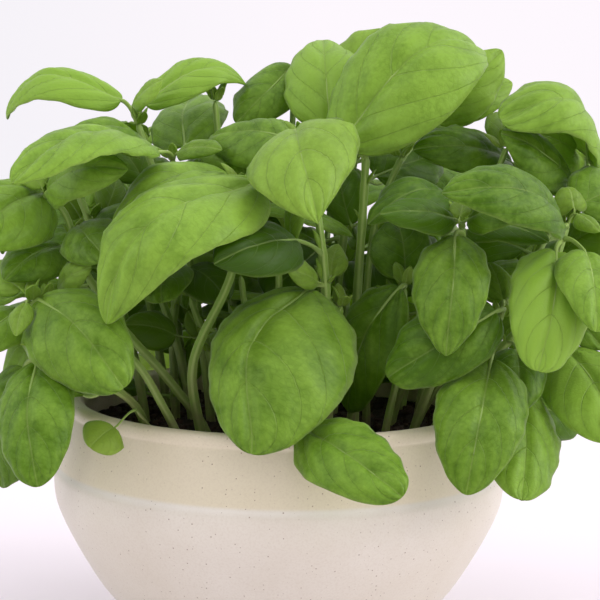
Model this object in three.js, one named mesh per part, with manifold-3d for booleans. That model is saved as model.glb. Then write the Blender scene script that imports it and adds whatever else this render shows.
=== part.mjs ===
// A potted basil plant: a round glazed bowl, filled with soil, with a bush of leafy stems.
// Millimetres, +Z up. The origin is the middle of the bowl's foot, on the surface it stands on.
import * as THREE from 'three';
import { mergeVertices } from 'three/addons/utils/BufferGeometryUtils.js';
import Module from 'manifold-3d';

const wasm = await Module();
wasm.setup();

// ---- Driving dimensions ----

const pot = {
  height: 112,
  rimRadius: 92,
  collarDepth: 29,      // the plain band under the rim
  collarRadius: 97.5,   // its lower edge stands out a little
  bellyRadius: 98.8,
  bellyHeight: 74,
  footRadius: 52,
  wall: 6.5,
  sides: 36,
};

const soil = {
  top: 100,             // height of its surface, 12 mm under the rim
  gap: 0.3,             // to the bowl
  relief: 2.2,
  holeGap: 0.35,        // round each stem
  sink: 26,             // how deep a stem goes
  rings: 2,
  sidePoints: [1, 2, 3, 4, 6],  // of bowlInside, which the soil lies along
};

const stemSides = 4;      // square, as the stems of this family are
const stemTaper = 0.62;
const petioleRadius = 1.05;
const bladeThickness = 0.8;
const leafClearance = 1.3;
const potClearance = 3;

// ---- The viewpoint that the leaves were measured from ----
// A leaf's pixel pair is a place in the 600 x 600 picture; fromView() turns it into millimetres.

const view = {
  eye: new THREE.Vector3(0, -850, 262),
  target: new THREE.Vector3(8, 0, 155),
  focal: 1955,          // pixels
  roll: 0.017,
  centre: 300,
};

const viewForward = view.target.clone().sub(view.eye).normalize();
const viewRight = new THREE.Vector3().crossVectors(viewForward, new THREE.Vector3(0, 0, 1)).normalize();
const viewUp = new THREE.Vector3().crossVectors(viewRight, viewForward);

function viewRay([px, py]) {
  const a = px - view.centre;
  const b = py - view.centre;
  const u = Math.cos(view.roll) * a + Math.sin(view.roll) * b;
  const v = -Math.sin(view.roll) * a + Math.cos(view.roll) * b;
  return viewForward.clone().multiplyScalar(view.focal)
    .addScaledVector(viewRight, u).addScaledVector(viewUp, -v).normalize();
}

// The point seen at a pixel, depth mm behind the middle of the bowl.
function fromView(pixel, depth) {
  const ray = viewRay(pixel);
  return view.eye.clone().addScaledVector(ray, (depth - view.eye.y) / ray.y);
}

// The point seen at a pixel that is `distance` from another point, on its near or far side.
function fromViewAt(pixel, origin, distance, nearer) {
  const ray = viewRay(pixel);
  const across = view.eye.clone().sub(origin);
  const along = -ray.dot(across);
  const spare = along * along - across.lengthSq() + distance * distance;
  return view.eye.clone().addScaledVector(ray, along - nearer * Math.sqrt(Math.max(spare, 0)));
}

function toView(point) {
  const d = point.clone().sub(view.eye);
  const u = view.focal * d.dot(viewRight) / d.dot(viewForward);
  const v = -view.focal * d.dot(viewUp) / d.dot(viewForward);
  return [
    view.centre + Math.cos(view.roll) * u - Math.sin(view.roll) * v,
    view.centre + Math.sin(view.roll) * u + Math.cos(view.roll) * v,
  ];
}

// ---- The leafy stems that the picture shows ----
// root: where the stem leaves the soil (mm). route: places it passes, as [pixel x, pixel y, depth in mm].
// Each leaf: at = share of the stem's length where it grows, base and tip in pixels, depth of the base
// in mm, long and wide in mm, nearer 1 (tip towards the viewer) or -1, face = the way its upper side
// looks as [azimuth from the viewer, elevation] in degrees, arch and cup = how far it bends along and
// across as shares of its length and width, peak = where along it the arch is highest.

const shown = [
  {
    name: 'leafy_stem_upper_left', root: [-46, 2], girth: 4.4, route: [[173, 326, 4], [179, 262, 4], [138, 123, 4]],
    leaves: [
      { at: 1, base: [121, 100], tip: [7, 119], depth: 2, long: 56, wide: 28, nearer: -1, face: [10, 60], arch: 0.31, cup: 0.35, peak: 0.56 },
      { at: 1, base: [144, 103], tip: [246, 84], depth: 8, long: 48, wide: 25, nearer: -1, face: [-5, 56], arch: 0.27, cup: 0.3, peak: 0.57 },
      { at: 1, base: [133, 105], tip: [163, 80], depth: -4, long: 18, wide: 12, nearer: 1, face: [0, 60], arch: 0.1, cup: 0.3 },
      { at: 0.93, base: [150, 147], tip: [68, 135], depth: 6, long: 44, wide: 24, nearer: 1, face: [-10, 55], arch: 0.16, cup: 0.3 },
      { at: 0.5, base: [190, 268], tip: [213, 308], depth: -4, long: 26, wide: 22, nearer: 1, face: [10, 20], arch: 0.1, cup: 0.2, full: 0.8 },
      { at: 0.46, base: [164, 286], tip: [128, 330], depth: 22, long: 32, wide: 24, nearer: 1, face: [-20, 40], arch: 0.1, cup: 0.2, full: 0.8 },
    ],
  },
  {
    name: 'leafy_stem_round_leaf', root: [-30, -8], girth: 4.6, route: [[196, 300, -12], [172, 158, -12]],
    leaves: [
      { at: 1, base: [185, 146], tip: [196, 98], depth: -8, long: 52, wide: 36, nearer: -1, face: [-18, 34], arch: 0.13, cup: 0.33 },
      { at: 1, base: [150, 149], tip: [12, 183], depth: -12, long: 73, wide: 40, nearer: 1, face: [-35, 42], arch: 0.18, cup: 0.24, full: 0.9 },
      { at: 0.97, base: [178, 152], tip: [222, 150], depth: -18, long: 24, wide: 14, nearer: 1, face: [10, 45], arch: 0.12, cup: 0.3 },
      { at: 0.55, base: [168, 266], tip: [152, 314], depth: -24, long: 28, wide: 24, nearer: 1, face: [-20, 25], arch: 0.1, cup: 0.2, full: 0.7 },
      { at: 0.76, base: [160, 208], tip: [92, 250], depth: -6, long: 46, wide: 32, nearer: 1, face: [-20, 30], arch: 0.12, cup: 0.25, full: 0.8 },
    ],
  },
  {
    name: 'leafy_stem_left', root: [-30, -38], girth: 4.6,
    route: [[172, 384, -42], [118, 322, -38], [84, 268, -34], [64, 212, -32], [47, 196, -32]],
    leaves: [
      { at: 1, base: [47, 192], tip: [128, 169], depth: -34, long: 42, wide: 27, nearer: 1, face: [-5, 42], arch: 0.18, cup: 0.3 },
      { at: 1, base: [44, 192], tip: [-30, 240], depth: -34, long: 56, wide: 37, nearer: 1, face: [12, 28], arch: 0.08, cup: 0.33 },
      { at: 1, base: [42, 188], tip: [22, 160], depth: -26, long: 20, wide: 12, nearer: -1, face: [0, 40], arch: 0.1, cup: 0.3 },
      { at: 0.86, base: [62, 246], tip: [4, 280], depth: -30, long: 36, wide: 26, nearer: 1, face: [-10, 30], arch: 0.12, cup: 0.3 },
      { at: 0.8, base: [92, 252], tip: [110, 206], depth: -22, long: 26, wide: 20, nearer: -1, face: [0, 30], arch: 0.1, cup: 0.25 },
      { at: 0.83, base: [78, 226], tip: [106, 260], depth: -16, long: 32, wide: 26, nearer: 1, face: [-5, 30], arch: 0.1, cup: 0.25, full: 0.8 },
    ],
  },
  {
    name: 'leafy_stem_low_left', root: [-40, -62], girth: 4.2,
    route: [[159, 399, -64], [134, 361, -62], [76, 322, -58], [30, 302, -60]],
    leaves: [
      { at: 0.98, base: [40, 300], tip: [124, 388], depth: -66, long: 58, wide: 39, nearer: 1, face: [-8, 32], arch: 0.14, cup: 0.31, full: 0.76 },
      { at: 1, base: [26, 303], tip: [16, 336], depth: -66, long: 17, wide: 10, nearer: 1, face: [-10, 20], arch: 0.1, cup: 0.3 },
      { at: 1, base: [28, 298], tip: [48, 262], depth: -62, long: 18, wide: 11, nearer: 1, face: [0, 30], arch: 0.12, cup: 0.3 },
      { at: 0.9, base: [26, 312], tip: [-30, 358], depth: -56, long: 42, wide: 30, nearer: 1, face: [-15, 30], arch: 0.16, cup: 0.3 },
      { at: 0.94, base: [22, 290], tip: [-6, 262], depth: -42, long: 22, wide: 18, nearer: -1, face: [-10, 30], arch: 0.1, cup: 0.25 },
      { at: 0.86, base: [58, 290], tip: [84, 266], depth: -50, long: 22, wide: 14, nearer: 1, face: [0, 30], arch: 0.16, cup: 0.3 },
    ],
  },
  {
    name: 'leafy_stem_over_rim_left', root: [-54, -50], girth: 4.6,
    route: [[137, 408, -56], [118, 391, -62], [78, 369, -70], [40, 357, -74]],
    leaves: [
      { at: 1, base: [37, 363], tip: [38, 487], depth: -78, long: 55, wide: 32, nearer: 1, face: [-14, 34], arch: 0.13, cup: 0.33, full: 0.85 },
      { at: 0.97, base: [24, 368], tip: [2, 488], depth: -62, long: 56, wide: 32, nearer: -1, face: [-20, 20], arch: 0.14, cup: 0.3 },
    ],
  },
  {
    name: 'seedling_front_left', root: [-47, -62], girth: 2, route: [[136, 410, -67]],
    leaves: [
      { at: 1, base: [114, 428], tip: [90, 448], depth: -76, long: 14, wide: 17, nearer: 1, face: [-5, 30], arch: 0.08, cup: 0.15, full: 0.7 },
    ],
  },
  {
    name: 'leafy_stem_centre_left', root: [-32, -52], girth: 5, route: [[193, 365, -60], [231, 275, -54], [246, 188, -48]],
    leaves: [
      { at: 1, base: [256, 182], tip: [106, 324], depth: -52, long: 86, wide: 49, nearer: 1, face: [-14, 50], arch: 0.29, cup: 0.28, peak: 0.6 },
      { at: 0.94, base: [236, 180], tip: [94, 228], depth: -34, long: 68, wide: 37, nearer: 1, face: [-15, 66], arch: 0.24, cup: 0.25 },
      { at: 0.9, base: [250, 188], tip: [214, 134], depth: -26, long: 38, wide: 30, nearer: -1, face: [-5, 40], arch: 0.12, cup: 0.3 },
    ],
  },
  {
    name: 'leafy_stem_tall_centre', root: [32, -14], girth: 5.4, route: [[357, 300, -14], [363, 210, -14], [366, 156, -16]],
    leaves: [
      { at: 1, base: [341, 142], tip: [483, 54], depth: -26, long: 83, wide: 54, nearer: -1, face: [-5, 42], arch: 0.29, cup: 0.24, peak: 0.58 },
      { at: 0.99, base: [330, 128], tip: [323, 40], depth: -4, long: 55, wide: 38, nearer: -1, face: [-7, 42], arch: 0.16, cup: 0.3 },
      { at: 0.9, base: [376, 176], tip: [440, 158], depth: -4, long: 46, wide: 30, nearer: -1, face: [20, 40], arch: 0.1, cup: 0.2 },
      { at: 0.8, base: [351, 224], tip: [340, 162], depth: -6, long: 32, wide: 20, nearer: -1, face: [-20, 20], arch: 0.1, cup: 0.2 },
    ],
  },
  {
    name: 'leafy_stem_behind_centre', root: [24, 22], girth: 4.6, route: [[345, 300, 26], [318, 140, 26]],
    leaves: [
      { at: 1, base: [292, 66], tip: [231, 120], depth: 22, long: 38, wide: 29, nearer: 1, face: [-7, 49], arch: 0.08, cup: 0.4 },
      { at: 1, base: [344, 70], tip: [388, 30], depth: 30, long: 30, wide: 22, nearer: -1, face: [0, 40], arch: 0.1, cup: 0.2 },
      { at: 0.56, base: [322, 246], tip: [268, 296], depth: 22, long: 42, wide: 32, nearer: 1, face: [-10, 28], arch: 0.1, cup: 0.25, full: 0.8 },
      { at: 0.5, base: [352, 262], tip: [400, 304], depth: 32, long: 40, wide: 32, nearer: 1, face: [10, 28], arch: 0.1, cup: 0.25, full: 0.8 },
    ],
  },
  {
    name: 'leafy_stem_second_centre', root: [38, -4], girth: 4.2, route: [[367, 287, -4], [378, 214, -2], [402, 156, 2]],
    leaves: [
      { at: 1, base: [436, 122], tip: [502, 50], depth: 20, long: 44, wide: 28, nearer: -1, face: [10, 30], arch: 0.14, cup: 0.2 },
      { at: 0.96, base: [450, 114], tip: [512, 82], depth: 26, long: 34, wide: 20, nearer: -1, face: [12, 34], arch: 0.12, cup: 0.2 },
      { at: 0.75, base: [390, 240], tip: [430, 268], depth: 8, long: 36, wide: 28, nearer: 1, face: [10, 28], arch: 0.12, cup: 0.25 },
    ],
  },
  {
    name: 'leafy_stem_front_centre', root: [20, -54], girth: 4.8,
    route: [[327, 330, -54], [325, 277, -52], [319, 224, -46], [304, 138, -38]],
    leaves: [
      { at: 1, base: [294, 131], tip: [318, 224], depth: -40, long: 60, wide: 49, nearer: 1, face: [0, 46], arch: 0.2, cup: 0.24, peak: 0.45, full: 1.5 },
      { at: 1, base: [286, 136], tip: [212, 136], depth: -28, long: 38, wide: 30, nearer: -1, face: [3, 44], arch: 0.05, cup: 0.45 },
      { at: 1, base: [312, 130], tip: [345, 122], depth: -34, long: 18, wide: 11, nearer: 1, face: [5, 50], arch: 0.1, cup: 0.3 },
      { at: 0.6, base: [306, 291], tip: [251, 454], depth: -60, long: 80, wide: 58, nearer: 1, face: [0, 38], arch: 0.12, cup: 0.33, full: 0.86 },
      { at: 0.61, base: [331, 276], tip: [338, 244], depth: -52, long: 16, wide: 12, nearer: -1, face: [0, 20], arch: 0.08, cup: 0.2 },
      { at: 0.6, base: [318, 282], tip: [286, 268], depth: -58, long: 18, wide: 12, nearer: 1, face: [-10, 30], arch: 0.1, cup: 0.2 },
      { at: 0.27, base: [304, 430], tip: [402, 497], depth: -90, long: 57, wide: 33, nearer: 1, face: [2, 34], arch: 0.1, cup: 0.3, full: 0.78 },
      { at: 0.68, base: [296, 240], tip: [214, 264], depth: -40, long: 46, wide: 30, nearer: 1, face: [-5, 30], arch: 0.14, cup: 0.3 },
    ],
  },
  {
    name: 'leafy_stem_dark_centre', root: [44, -40], girth: 4, route: [[404, 340, -40], [404, 286, -40]],
    leaves: [
      { at: 1, base: [400, 288], tip: [348, 412], depth: -46, long: 62, wide: 34, nearer: -1, face: [-15, 50], arch: 0.17, cup: 0.3, peak: 0.44 },
      { at: 1, base: [406, 278], tip: [396, 216], depth: -34, long: 34, wide: 28, nearer: -1, face: [0, 16], arch: 0.1, cup: 0.2 },
    ],
  },
  {
    name: 'leafy_stem_rosette', root: [56, -34], girth: 4.6, route: [[462, 300, -46], [462, 226, -50]],
    leaves: [
      { at: 1, base: [454, 219], tip: [380, 214], depth: -60, long: 35, wide: 20, nearer: 1, face: [-6, 44], arch: 0.1, cup: 0.33 },
      { at: 1, base: [456, 212], tip: [368, 224], depth: -44, long: 50, wide: 28, nearer: 1, face: [-14, 52], arch: 0.28, cup: 0.3 },
      { at: 0.97, base: [455, 236], tip: [446, 356], depth: -62, long: 54, wide: 31, nearer: 1, face: [-8, 40], arch: 0.15, cup: 0.3 },
      { at: 1, base: [468, 219], tip: [535, 205], depth: -58, long: 32, wide: 20, nearer: 1, face: [2, 41], arch: 0.1, cup: 0.35 },
      { at: 0.99, base: [470, 230], tip: [549, 242], depth: -50, long: 40, wide: 22, nearer: 1, face: [4, 60], arch: 0.12, cup: 0.3 },
      { at: 1, base: [460, 216], tip: [462, 200], depth: -52, long: 13, wide: 9, nearer: -1, face: [0, 30], arch: 0.1, cup: 0.3 },
    ],
  },
  {
    name: 'leafy_stem_right', root: [66, -20], girth: 4.8, route: [[540, 300, -40], [567, 224, -42]],
    leaves: [
      { at: 0.99, base: [560, 227], tip: [442, 193], depth: -48, long: 62, wide: 34, nearer: 1, face: [-2, 46], arch: 0.22, cup: 0.3, peak: 0.46 },
      { at: 0.94, base: [556, 252], tip: [538, 371], depth: -58, long: 58, wide: 34, nearer: 1, face: [10, 33], arch: 0.15, cup: 0.3, full: 0.66 },
      { at: 0.95, base: [585, 252], tip: [596, 332], depth: -44, long: 46, wide: 30, nearer: 1, face: [14, 30], arch: 0.14, cup: 0.3 },
      { at: 1, base: [574, 208], tip: [562, 190], depth: -50, long: 14, wide: 12, nearer: -1, face: [0, 40], arch: 0.3, cup: 0.4 },
      { at: 1, base: [578, 206], tip: [632, 186], depth: -42, long: 38, wide: 30, nearer: -1, face: [20, 42], arch: 0.18, cup: 0.3 },
      { at: 1, base: [578, 214], tip: [600, 232], depth: -50, long: 16, wide: 10, nearer: 1, face: [15, 40], arch: 0.12, cup: 0.3 },
      { at: 0.86, base: [524, 250], tip: [472, 238], depth: -22, long: 38, wide: 27, nearer: -1, face: [0, 34], arch: 0.12, cup: 0.25 },
      { at: 0.68, base: [564, 306], tip: [604, 350], depth: -22, long: 34, wide: 26, nearer: 1, face: [10, 30], arch: 0.1, cup: 0.25 },
      { at: 0.58, base: [516, 350], tip: [516, 414], depth: -52, long: 36, wide: 25, nearer: 1, face: [0, 28], arch: 0.12, cup: 0.25 },
    ],
  },
  {
    name: 'leafy_stem_upper_right', root: [60, 0], girth: 4.8, route: [[520, 280, -8], [574, 186, -12]],
    leaves: [
      { at: 1, base: [570, 180], tip: [501, 133], depth: -16, long: 42, wide: 30, nearer: 1, face: [4, 42], arch: 0.1, cup: 0.36 },
      { at: 1, base: [589, 158], tip: [501, 120], depth: -6, long: 58, wide: 40, nearer: 1, face: [2, 50], arch: 0.36, cup: 0.3, peak: 0.55 },
      { at: 0.97, base: [592, 176], tip: [520, 128], depth: 10, long: 44, wide: 32, nearer: 1, face: [4, 34], arch: 0.2, cup: 0.25 },
      { at: 0.96, base: [512, 163], tip: [413, 150], depth: -6, long: 50, wide: 29, nearer: 1, face: [0, 41], arch: 0.17, cup: 0.31 },
      { at: 0.98, base: [592, 172], tip: [640, 150], depth: -2, long: 40, wide: 28, nearer: -1, face: [20, 50], arch: 0.2, cup: 0.3 },
    ],
  },
  {
    name: 'leafy_stem_low_right', root: [62, -48], girth: 4.4, route: [[472, 374, -48], [500, 318, -56]],
    leaves: [
      { at: 0.9, base: [491, 360], tip: [466, 495], depth: -72, long: 61, wide: 37, nearer: 1, face: [-3, 40], arch: 0.15, cup: 0.3, peak: 0.53, full: 0.88 },
      { at: 1, base: [495, 312], tip: [388, 378], depth: -60, long: 51, wide: 33, nearer: 1, face: [0, 36], arch: 0.12, cup: 0.32, full: 0.75 },
      { at: 0.8, base: [518, 385], tip: [522, 500], depth: -62, long: 58, wide: 36, nearer: 1, face: [14, 35], arch: 0.06, cup: 0.35, full: 0.82 },
      { at: 1, base: [510, 308], tip: [546, 386], depth: -36, long: 38, wide: 24, nearer: 1, face: [10, 30], arch: 0.12, cup: 0.25 },
      { at: 1, base: [503, 300], tip: [489, 262], depth: -54, long: 20, wide: 13, nearer: -1, face: [0, 24], arch: 0.1, cup: 0.25 },
    ],
  },
  {
    name: 'leafy_stem_edge_right', root: [73, -11], girth: 4.2,
    route: [[476, 391, -17], [530, 374, -28], [568, 344, -40]],
    leaves: [
      { at: 1, base: [566, 350], tip: [618, 442], depth: -48, long: 54, wide: 37, nearer: 1, face: [-4, 40], arch: 0.09, cup: 0.34, full: 0.86 },
      { at: 0.95, base: [582, 326], tip: [644, 346], depth: -34, long: 50, wide: 32, nearer: 1, face: [25, 34], arch: 0.16, cup: 0.25 },
    ],
  },
];

// ---- The stems behind and at the sides, which the picture hides ----
// They follow a rule: opposite leaves in pairs, each pair turned a quarter from the last.

const hidden = {
  rings: [
    { name: 'leafy_stem_back', count: 8, azimuth: [-12, 192], radius: [50, 66], height: [104, 132] },
    { name: 'leafy_stem_middle', count: 3, azimuth: [15, 165], radius: [16, 30], height: [138, 152] },
    { name: 'leafy_stem_short', count: 7, azimuth: [185, 355], radius: [22, 52], height: [48, 84] },
  ],
  splay: 0.6,           // how far a top stands out for each mm of its root's radius
  girth: [4, 4.8],
  seed: 58,
};

const pairRule = {
  share: [0.42, 0.62, 0.82, 0.985],  // where the pairs grow along a stem
  long: [66, 68, 54, 26],
  slender: 0.6,                      // width of a blade for its length
  elevation: [-24, -12, 6, 34],
  stalk: 0.24,                       // its length for the blade's
  droop: 0.14,                       // how far the tip sinks for the blade's length
  arch: 0.19,
};

// Nothing that grows by rule stands above this line in the picture, or in front of the bowl or the
// bare soil there.
const skyline = [
  [-400, 210], [0, 172], [60, 140], [110, 124], [160, 112], [205, 98], [240, 104], [262, 82], [292, 66],
  [330, 50], [372, 34], [430, 30], [470, 54], [500, 88], [560, 88], [592, 128], [640, 150], [1000, 230],
];
const bowlInView = { left: 70, right: 640, top: 424 };
const soilInView = { left: 128, right: 442, top: 388 };

// A leaf that would touch another is swung about its base, or made smaller, by the first of these
// that clears it. A shown leaf first moves along the line of sight, which leaves the picture as it is.
const swingSteps = [7, 14, 22, 32, 44];
const swingWays = 8;
const fillerScales = [1, 0.86, 0.72];
const sightSteps = [0, -3, 3, -6, 6, -9, 9, -13, 13, -18, 18, -24, 24];

// ---- Small tools ----

const up = new THREE.Vector3(0, 0, 1);
const radians = THREE.MathUtils.degToRad;

function randomFrom(seed) {
  let state = seed >>> 0;
  return () => {
    state = (state + 0x6d2b79f5) >>> 0;
    let t = Math.imul(state ^ (state >>> 15), state | 1);
    t = (t + Math.imul(t ^ (t >>> 7), t | 61)) ^ t;
    return ((t ^ (t >>> 14)) >>> 0) / 4294967296;
  };
}

function direction(azimuth, elevation) {
  const a = radians(azimuth);
  const e = radians(elevation);
  return new THREE.Vector3(Math.sin(a) * Math.cos(e), -Math.cos(a) * Math.cos(e), Math.sin(e));
}

function mix(a, b, share) {
  return a + (b - a) * share;
}

// ---- One leaf ----

// Share of the full half-width at t, from the base (0) to the tip (1).
const outlineRise = 0.5;
const outlineFall = 0.72;
const widest = outlineRise / (outlineRise + outlineFall);
function outline(t) {
  if (t <= 0 || t >= 1) return 0;
  return (t / widest) ** outlineRise * ((1 - t) / (1 - widest)) ** outlineFall;
}

function leafFrame(leaf) {
  const along = leaf.tip.clone().sub(leaf.base);
  const long = along.length();
  along.normalize();
  const normal = leaf.face.clone().addScaledVector(along, -leaf.face.dot(along)).normalize();
  const side = new THREE.Vector3().crossVectors(along, normal);
  return { along, normal, side, long };
}

// A point of the blade's middle surface: t runs along it, u across it from -1 to 1.
function leafPoint(leaf, frame, t, u) {
  const half = 0.5 * leaf.wide * outline(t) ** leaf.full;
  const along = t ** (Math.log(0.5) / Math.log(leaf.peak));
  const rise = leaf.arch * frame.long * 4 * along * (1 - along);
  const wave = leaf.wave * leaf.wide * Math.sin(leaf.phase + 9 * t + 1.7 * u) * u * u;
  return leaf.base.clone()
    .addScaledVector(frame.along, frame.long * t)
    .addScaledVector(frame.normal, rise - leaf.cup * half * u * u + wave * outline(t))
    .addScaledVector(frame.side, half * u);
}

const largeStations = [0.1, 0.32, 0.58, 0.82];
const middleStations = [0.14, 0.44, 0.78];
const smallStations = [0.22, 0.64];
function stationsFor(leaf) {
  const long = leaf.tip.distanceTo(leaf.base);
  if (leaf.ruled) return long > 42 ? middleStations : smallStations;
  if (long > 50) return largeStations;
  return long > 24 ? middleStations : smallStations;
}

// The middle surface as points and triangles: the base, rows of three, the tip.
function leafSheet(leaf) {
  const frame = leafFrame(leaf);
  const stations = stationsFor(leaf);
  const points = [leafPoint(leaf, frame, 0, 0)];
  for (const t of stations) {
    for (const u of [-1, 0, 1]) points.push(leafPoint(leaf, frame, t, u));
  }
  points.push(leafPoint(leaf, frame, 1, 0));
  const tip = points.length - 1;
  const faces = [[0, 2, 1], [0, 3, 2]];
  for (let row = 0; row < stations.length - 1; row += 1) {
    const a = 1 + row * 3;
    faces.push([a, a + 1, a + 3], [a + 1, a + 4, a + 3], [a + 1, a + 2, a + 5], [a + 1, a + 5, a + 4]);
  }
  faces.push([tip - 3, tip - 2, tip], [tip - 2, tip - 1, tip]);
  const rim = [0];
  for (let row = 0; row < stations.length; row += 1) rim.push(3 + row * 3);
  rim.push(tip);
  for (let row = stations.length - 1; row >= 0; row -= 1) rim.push(1 + row * 3);
  return { points, faces, rim };
}

// The way the blade's upper side looks at a point.
function leafNormal(leaf, frame, t, u) {
  const step = 0.02;
  const middle = Math.min(Math.max(t, 2 * step), 1 - 2 * step);
  const here = leafPoint(leaf, frame, middle, u);
  const along = leafPoint(leaf, frame, middle + step, u).sub(here);
  const across = leafPoint(leaf, frame, middle, u + step).sub(here);
  return across.cross(along).normalize();
}

// ---- Stems and leaf stalks ----

function roundShape(radius, sides) {
  const shape = new THREE.Shape();
  for (let i = 0; i < sides; i += 1) {
    const angle = 2 * Math.PI * (i + 0.5) / sides;
    shape[i ? 'lineTo' : 'moveTo'](radius * Math.cos(angle), radius * Math.sin(angle));
  }
  return shape;
}

// A tube along a curve, thinner towards its end.
function tubeGeometry(curve, radius, taper, sides, steps) {
  const geometry = new THREE.ExtrudeGeometry(roundShape(radius, sides), {
    steps, bevelEnabled: false, extrudePath: curve,
  });
  const middles = curve.getSpacedPoints(steps);
  const positions = geometry.attributes.position;
  const corner = new THREE.Vector3();
  for (let i = 0; i < positions.count; i += 1) {
    corner.fromBufferAttribute(positions, i);
    let nearest = 0;
    middles.forEach((middle, k) => {
      if (middle.distanceToSquared(corner) < middles[nearest].distanceToSquared(corner)) nearest = k;
    });
    corner.sub(middles[nearest]).multiplyScalar(mix(1, taper, nearest / steps)).add(middles[nearest]);
    positions.setXYZ(i, corner.x, corner.y, corner.z);
  }
  return geometry;
}

function stemCurve(stem) {
  return new THREE.CatmullRomCurve3(stem.points, false, 'centripetal');
}

// The stalk leaves the stem, bends, and meets the blade in the blade's own direction.
function stalkCurve(stem, leaf) {
  const frame = leafFrame(leaf);
  const start = stem.curve.getPointAt(leaf.at);
  const reach = start.distanceTo(leaf.base) / 3;
  const outward = leaf.base.clone().sub(start).normalize();
  const leave = stem.curve.getTangentAt(leaf.at).multiplyScalar(0.6).add(outward).normalize();
  const arrive = leafPoint(leaf, frame, 0.03, 0).sub(leaf.base).normalize();
  return new THREE.CubicBezierCurve3(
    start,
    start.clone().addScaledVector(leave, reach),
    leaf.base.clone().addScaledVector(arrive, -reach),
    leaf.base.clone(),
  );
}

function stalkSteps(stem, leaf) {
  return stem.curve.getPointAt(leaf.at).distanceTo(leaf.base) > 26 ? 3 : 2;
}

// A whole leaf as one closed shape: rings of four points round the stalk, rows of six round the
// blade (three above, three below), and two points at the tip.
const stalkRing = [[1, 0], [0, 1], [-1, 0], [0, -1]];
const bladeRow = [[1, 0.5], [0, 0.5], [-1, 0.5], [-1, -0.5], [0, -0.5], [1, -0.5]];

function leafCorners(stem, leaf, steps, stations) {
  const frame = leafFrame(leaf);
  const stalk = stalkCurve(stem, leaf);
  const corners = [];
  for (let i = 0; i <= steps; i += 1) {
    const tangent = stalk.getTangentAt(i / steps);
    const normal = frame.side.clone().cross(tangent).normalize();
    const side = tangent.cross(normal).normalize();
    for (const [across, above] of stalkRing) {
      corners.push(stalk.getPointAt(i / steps).addScaledVector(side, across * petioleRadius)
        .addScaledVector(normal, above * petioleRadius));
    }
  }
  for (const t of stations) {
    for (const [u, above] of bladeRow) {
      corners.push(leafPoint(leaf, frame, t, u)
        .addScaledVector(leafNormal(leaf, frame, t, u), above * bladeThickness));
    }
  }
  for (const above of [0.5, -0.5]) {
    corners.push(leaf.tip.clone().addScaledVector(frame.normal, above * bladeThickness));
  }
  return corners;
}

function leafGeometry(stem, leaf) {
  const steps = stalkSteps(stem, leaf);
  const stations = stationsFor(leaf);
  const index = [0, 1, 2, 0, 2, 3];
  const quad = (a, b, c, d) => index.push(a, c, b, b, c, d);
  for (let i = 0; i < steps; i += 1) {
    for (let k = 0; k < 4; k += 1) quad(4 * i + k, 4 * i + (k + 1) % 4, 4 * i + 4 + k, 4 * i + 4 + (k + 1) % 4);
  }
  // From the stalk's last ring to the blade's first row.
  const ring = 4 * steps;
  const row = ring + 4;
  const [right, top, left, bottom] = [ring, ring + 1, ring + 2, ring + 3];
  for (const [from, to] of [[right, 5], [top, 0], [top, 1], [left, 2], [bottom, 3], [bottom, 4]]) {
    index.push(from, row + to, row + (to + 1) % 6);
  }
  index.push(right, row, top, top, row + 2, left, left, row + 3, bottom, bottom, row + 5, right);
  // Along the blade, with the same diagonals above and below.
  for (let i = 0; i < stations.length - 1; i += 1) {
    for (let k = 0; k < 6; k += 1) {
      const [a, b] = [row + 6 * i + k, row + 6 * i + (k + 1) % 6];
      if (k === 1 || k === 3) index.push(a, a + 6, b + 6, a, b + 6, b);
      else quad(a, b, a + 6, b + 6);
    }
  }
  const last = row + 6 * (stations.length - 1);
  const [above, below] = [last + 6, last + 7];
  index.push(last, above, last + 1, last + 1, above, last + 2);
  index.push(last + 3, below, last + 4, last + 4, below, last + 5);
  quad(last + 2, last + 3, above, below);
  quad(last + 5, last, below, above);
  const geometry = new THREE.BufferGeometry();
  geometry.setFromPoints(leafCorners(stem, leaf, steps, stations));
  geometry.setIndex(index);
  return geometry;
}

// ---- Keeping the pieces apart ----

const placed = [];   // { box, triangles } or { box, spine, radius } with its stem's name

function sheetSolid(stem, leaf) {
  const { points, faces } = leafSheet(leaf);
  return {
    stem, leaf,
    box: new THREE.Box3().setFromPoints(points),
    triangles: faces.map(([a, b, c]) => new THREE.Triangle(points[a], points[b], points[c])),
  };
}

function tubeSolid(stem, curve, radius, steps, part) {
  const points = curve.getSpacedPoints(steps);
  const spine = points.slice(1).map((point, i) => new THREE.Line3(points[i], point));
  return { stem, box: new THREE.Box3().setFromPoints(points).expandByScalar(radius), spine, radius, part };
}

function triangleEdges(triangle) {
  return [
    new THREE.Line3(triangle.a, triangle.b),
    new THREE.Line3(triangle.b, triangle.c),
    new THREE.Line3(triangle.c, triangle.a),
  ];
}

const found = new THREE.Vector3();
const ray = new THREE.Ray();

function lineMeetsTriangle(line, triangle, distance) {
  for (const end of [line.start, line.end]) {
    triangle.closestPointToPoint(end, found);
    if (found.distanceTo(end) < distance) return true;
  }
  if (triangleEdges(triangle).some((edge) => edge.distanceSqToLine3(line) < distance * distance)) return true;
  ray.origin.copy(line.start);
  ray.direction.copy(line.end).sub(line.start).normalize();
  const hit = ray.intersectTriangle(triangle.a, triangle.b, triangle.c, false, found);
  return hit !== null && hit.distanceTo(line.start) < line.distance();
}

function trianglesMeet(one, other, distance) {
  return triangleEdges(one).some((edge) => lineMeetsTriangle(edge, other, distance))
    || triangleEdges(other).some((edge) => lineMeetsTriangle(edge, one, distance));
}

const triangleBox = new THREE.Box3();
function near(triangle, box, distance) {
  triangleBox.setFromPoints([triangle.a, triangle.b, triangle.c]).expandByScalar(distance);
  return triangleBox.intersectsBox(box);
}

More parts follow.
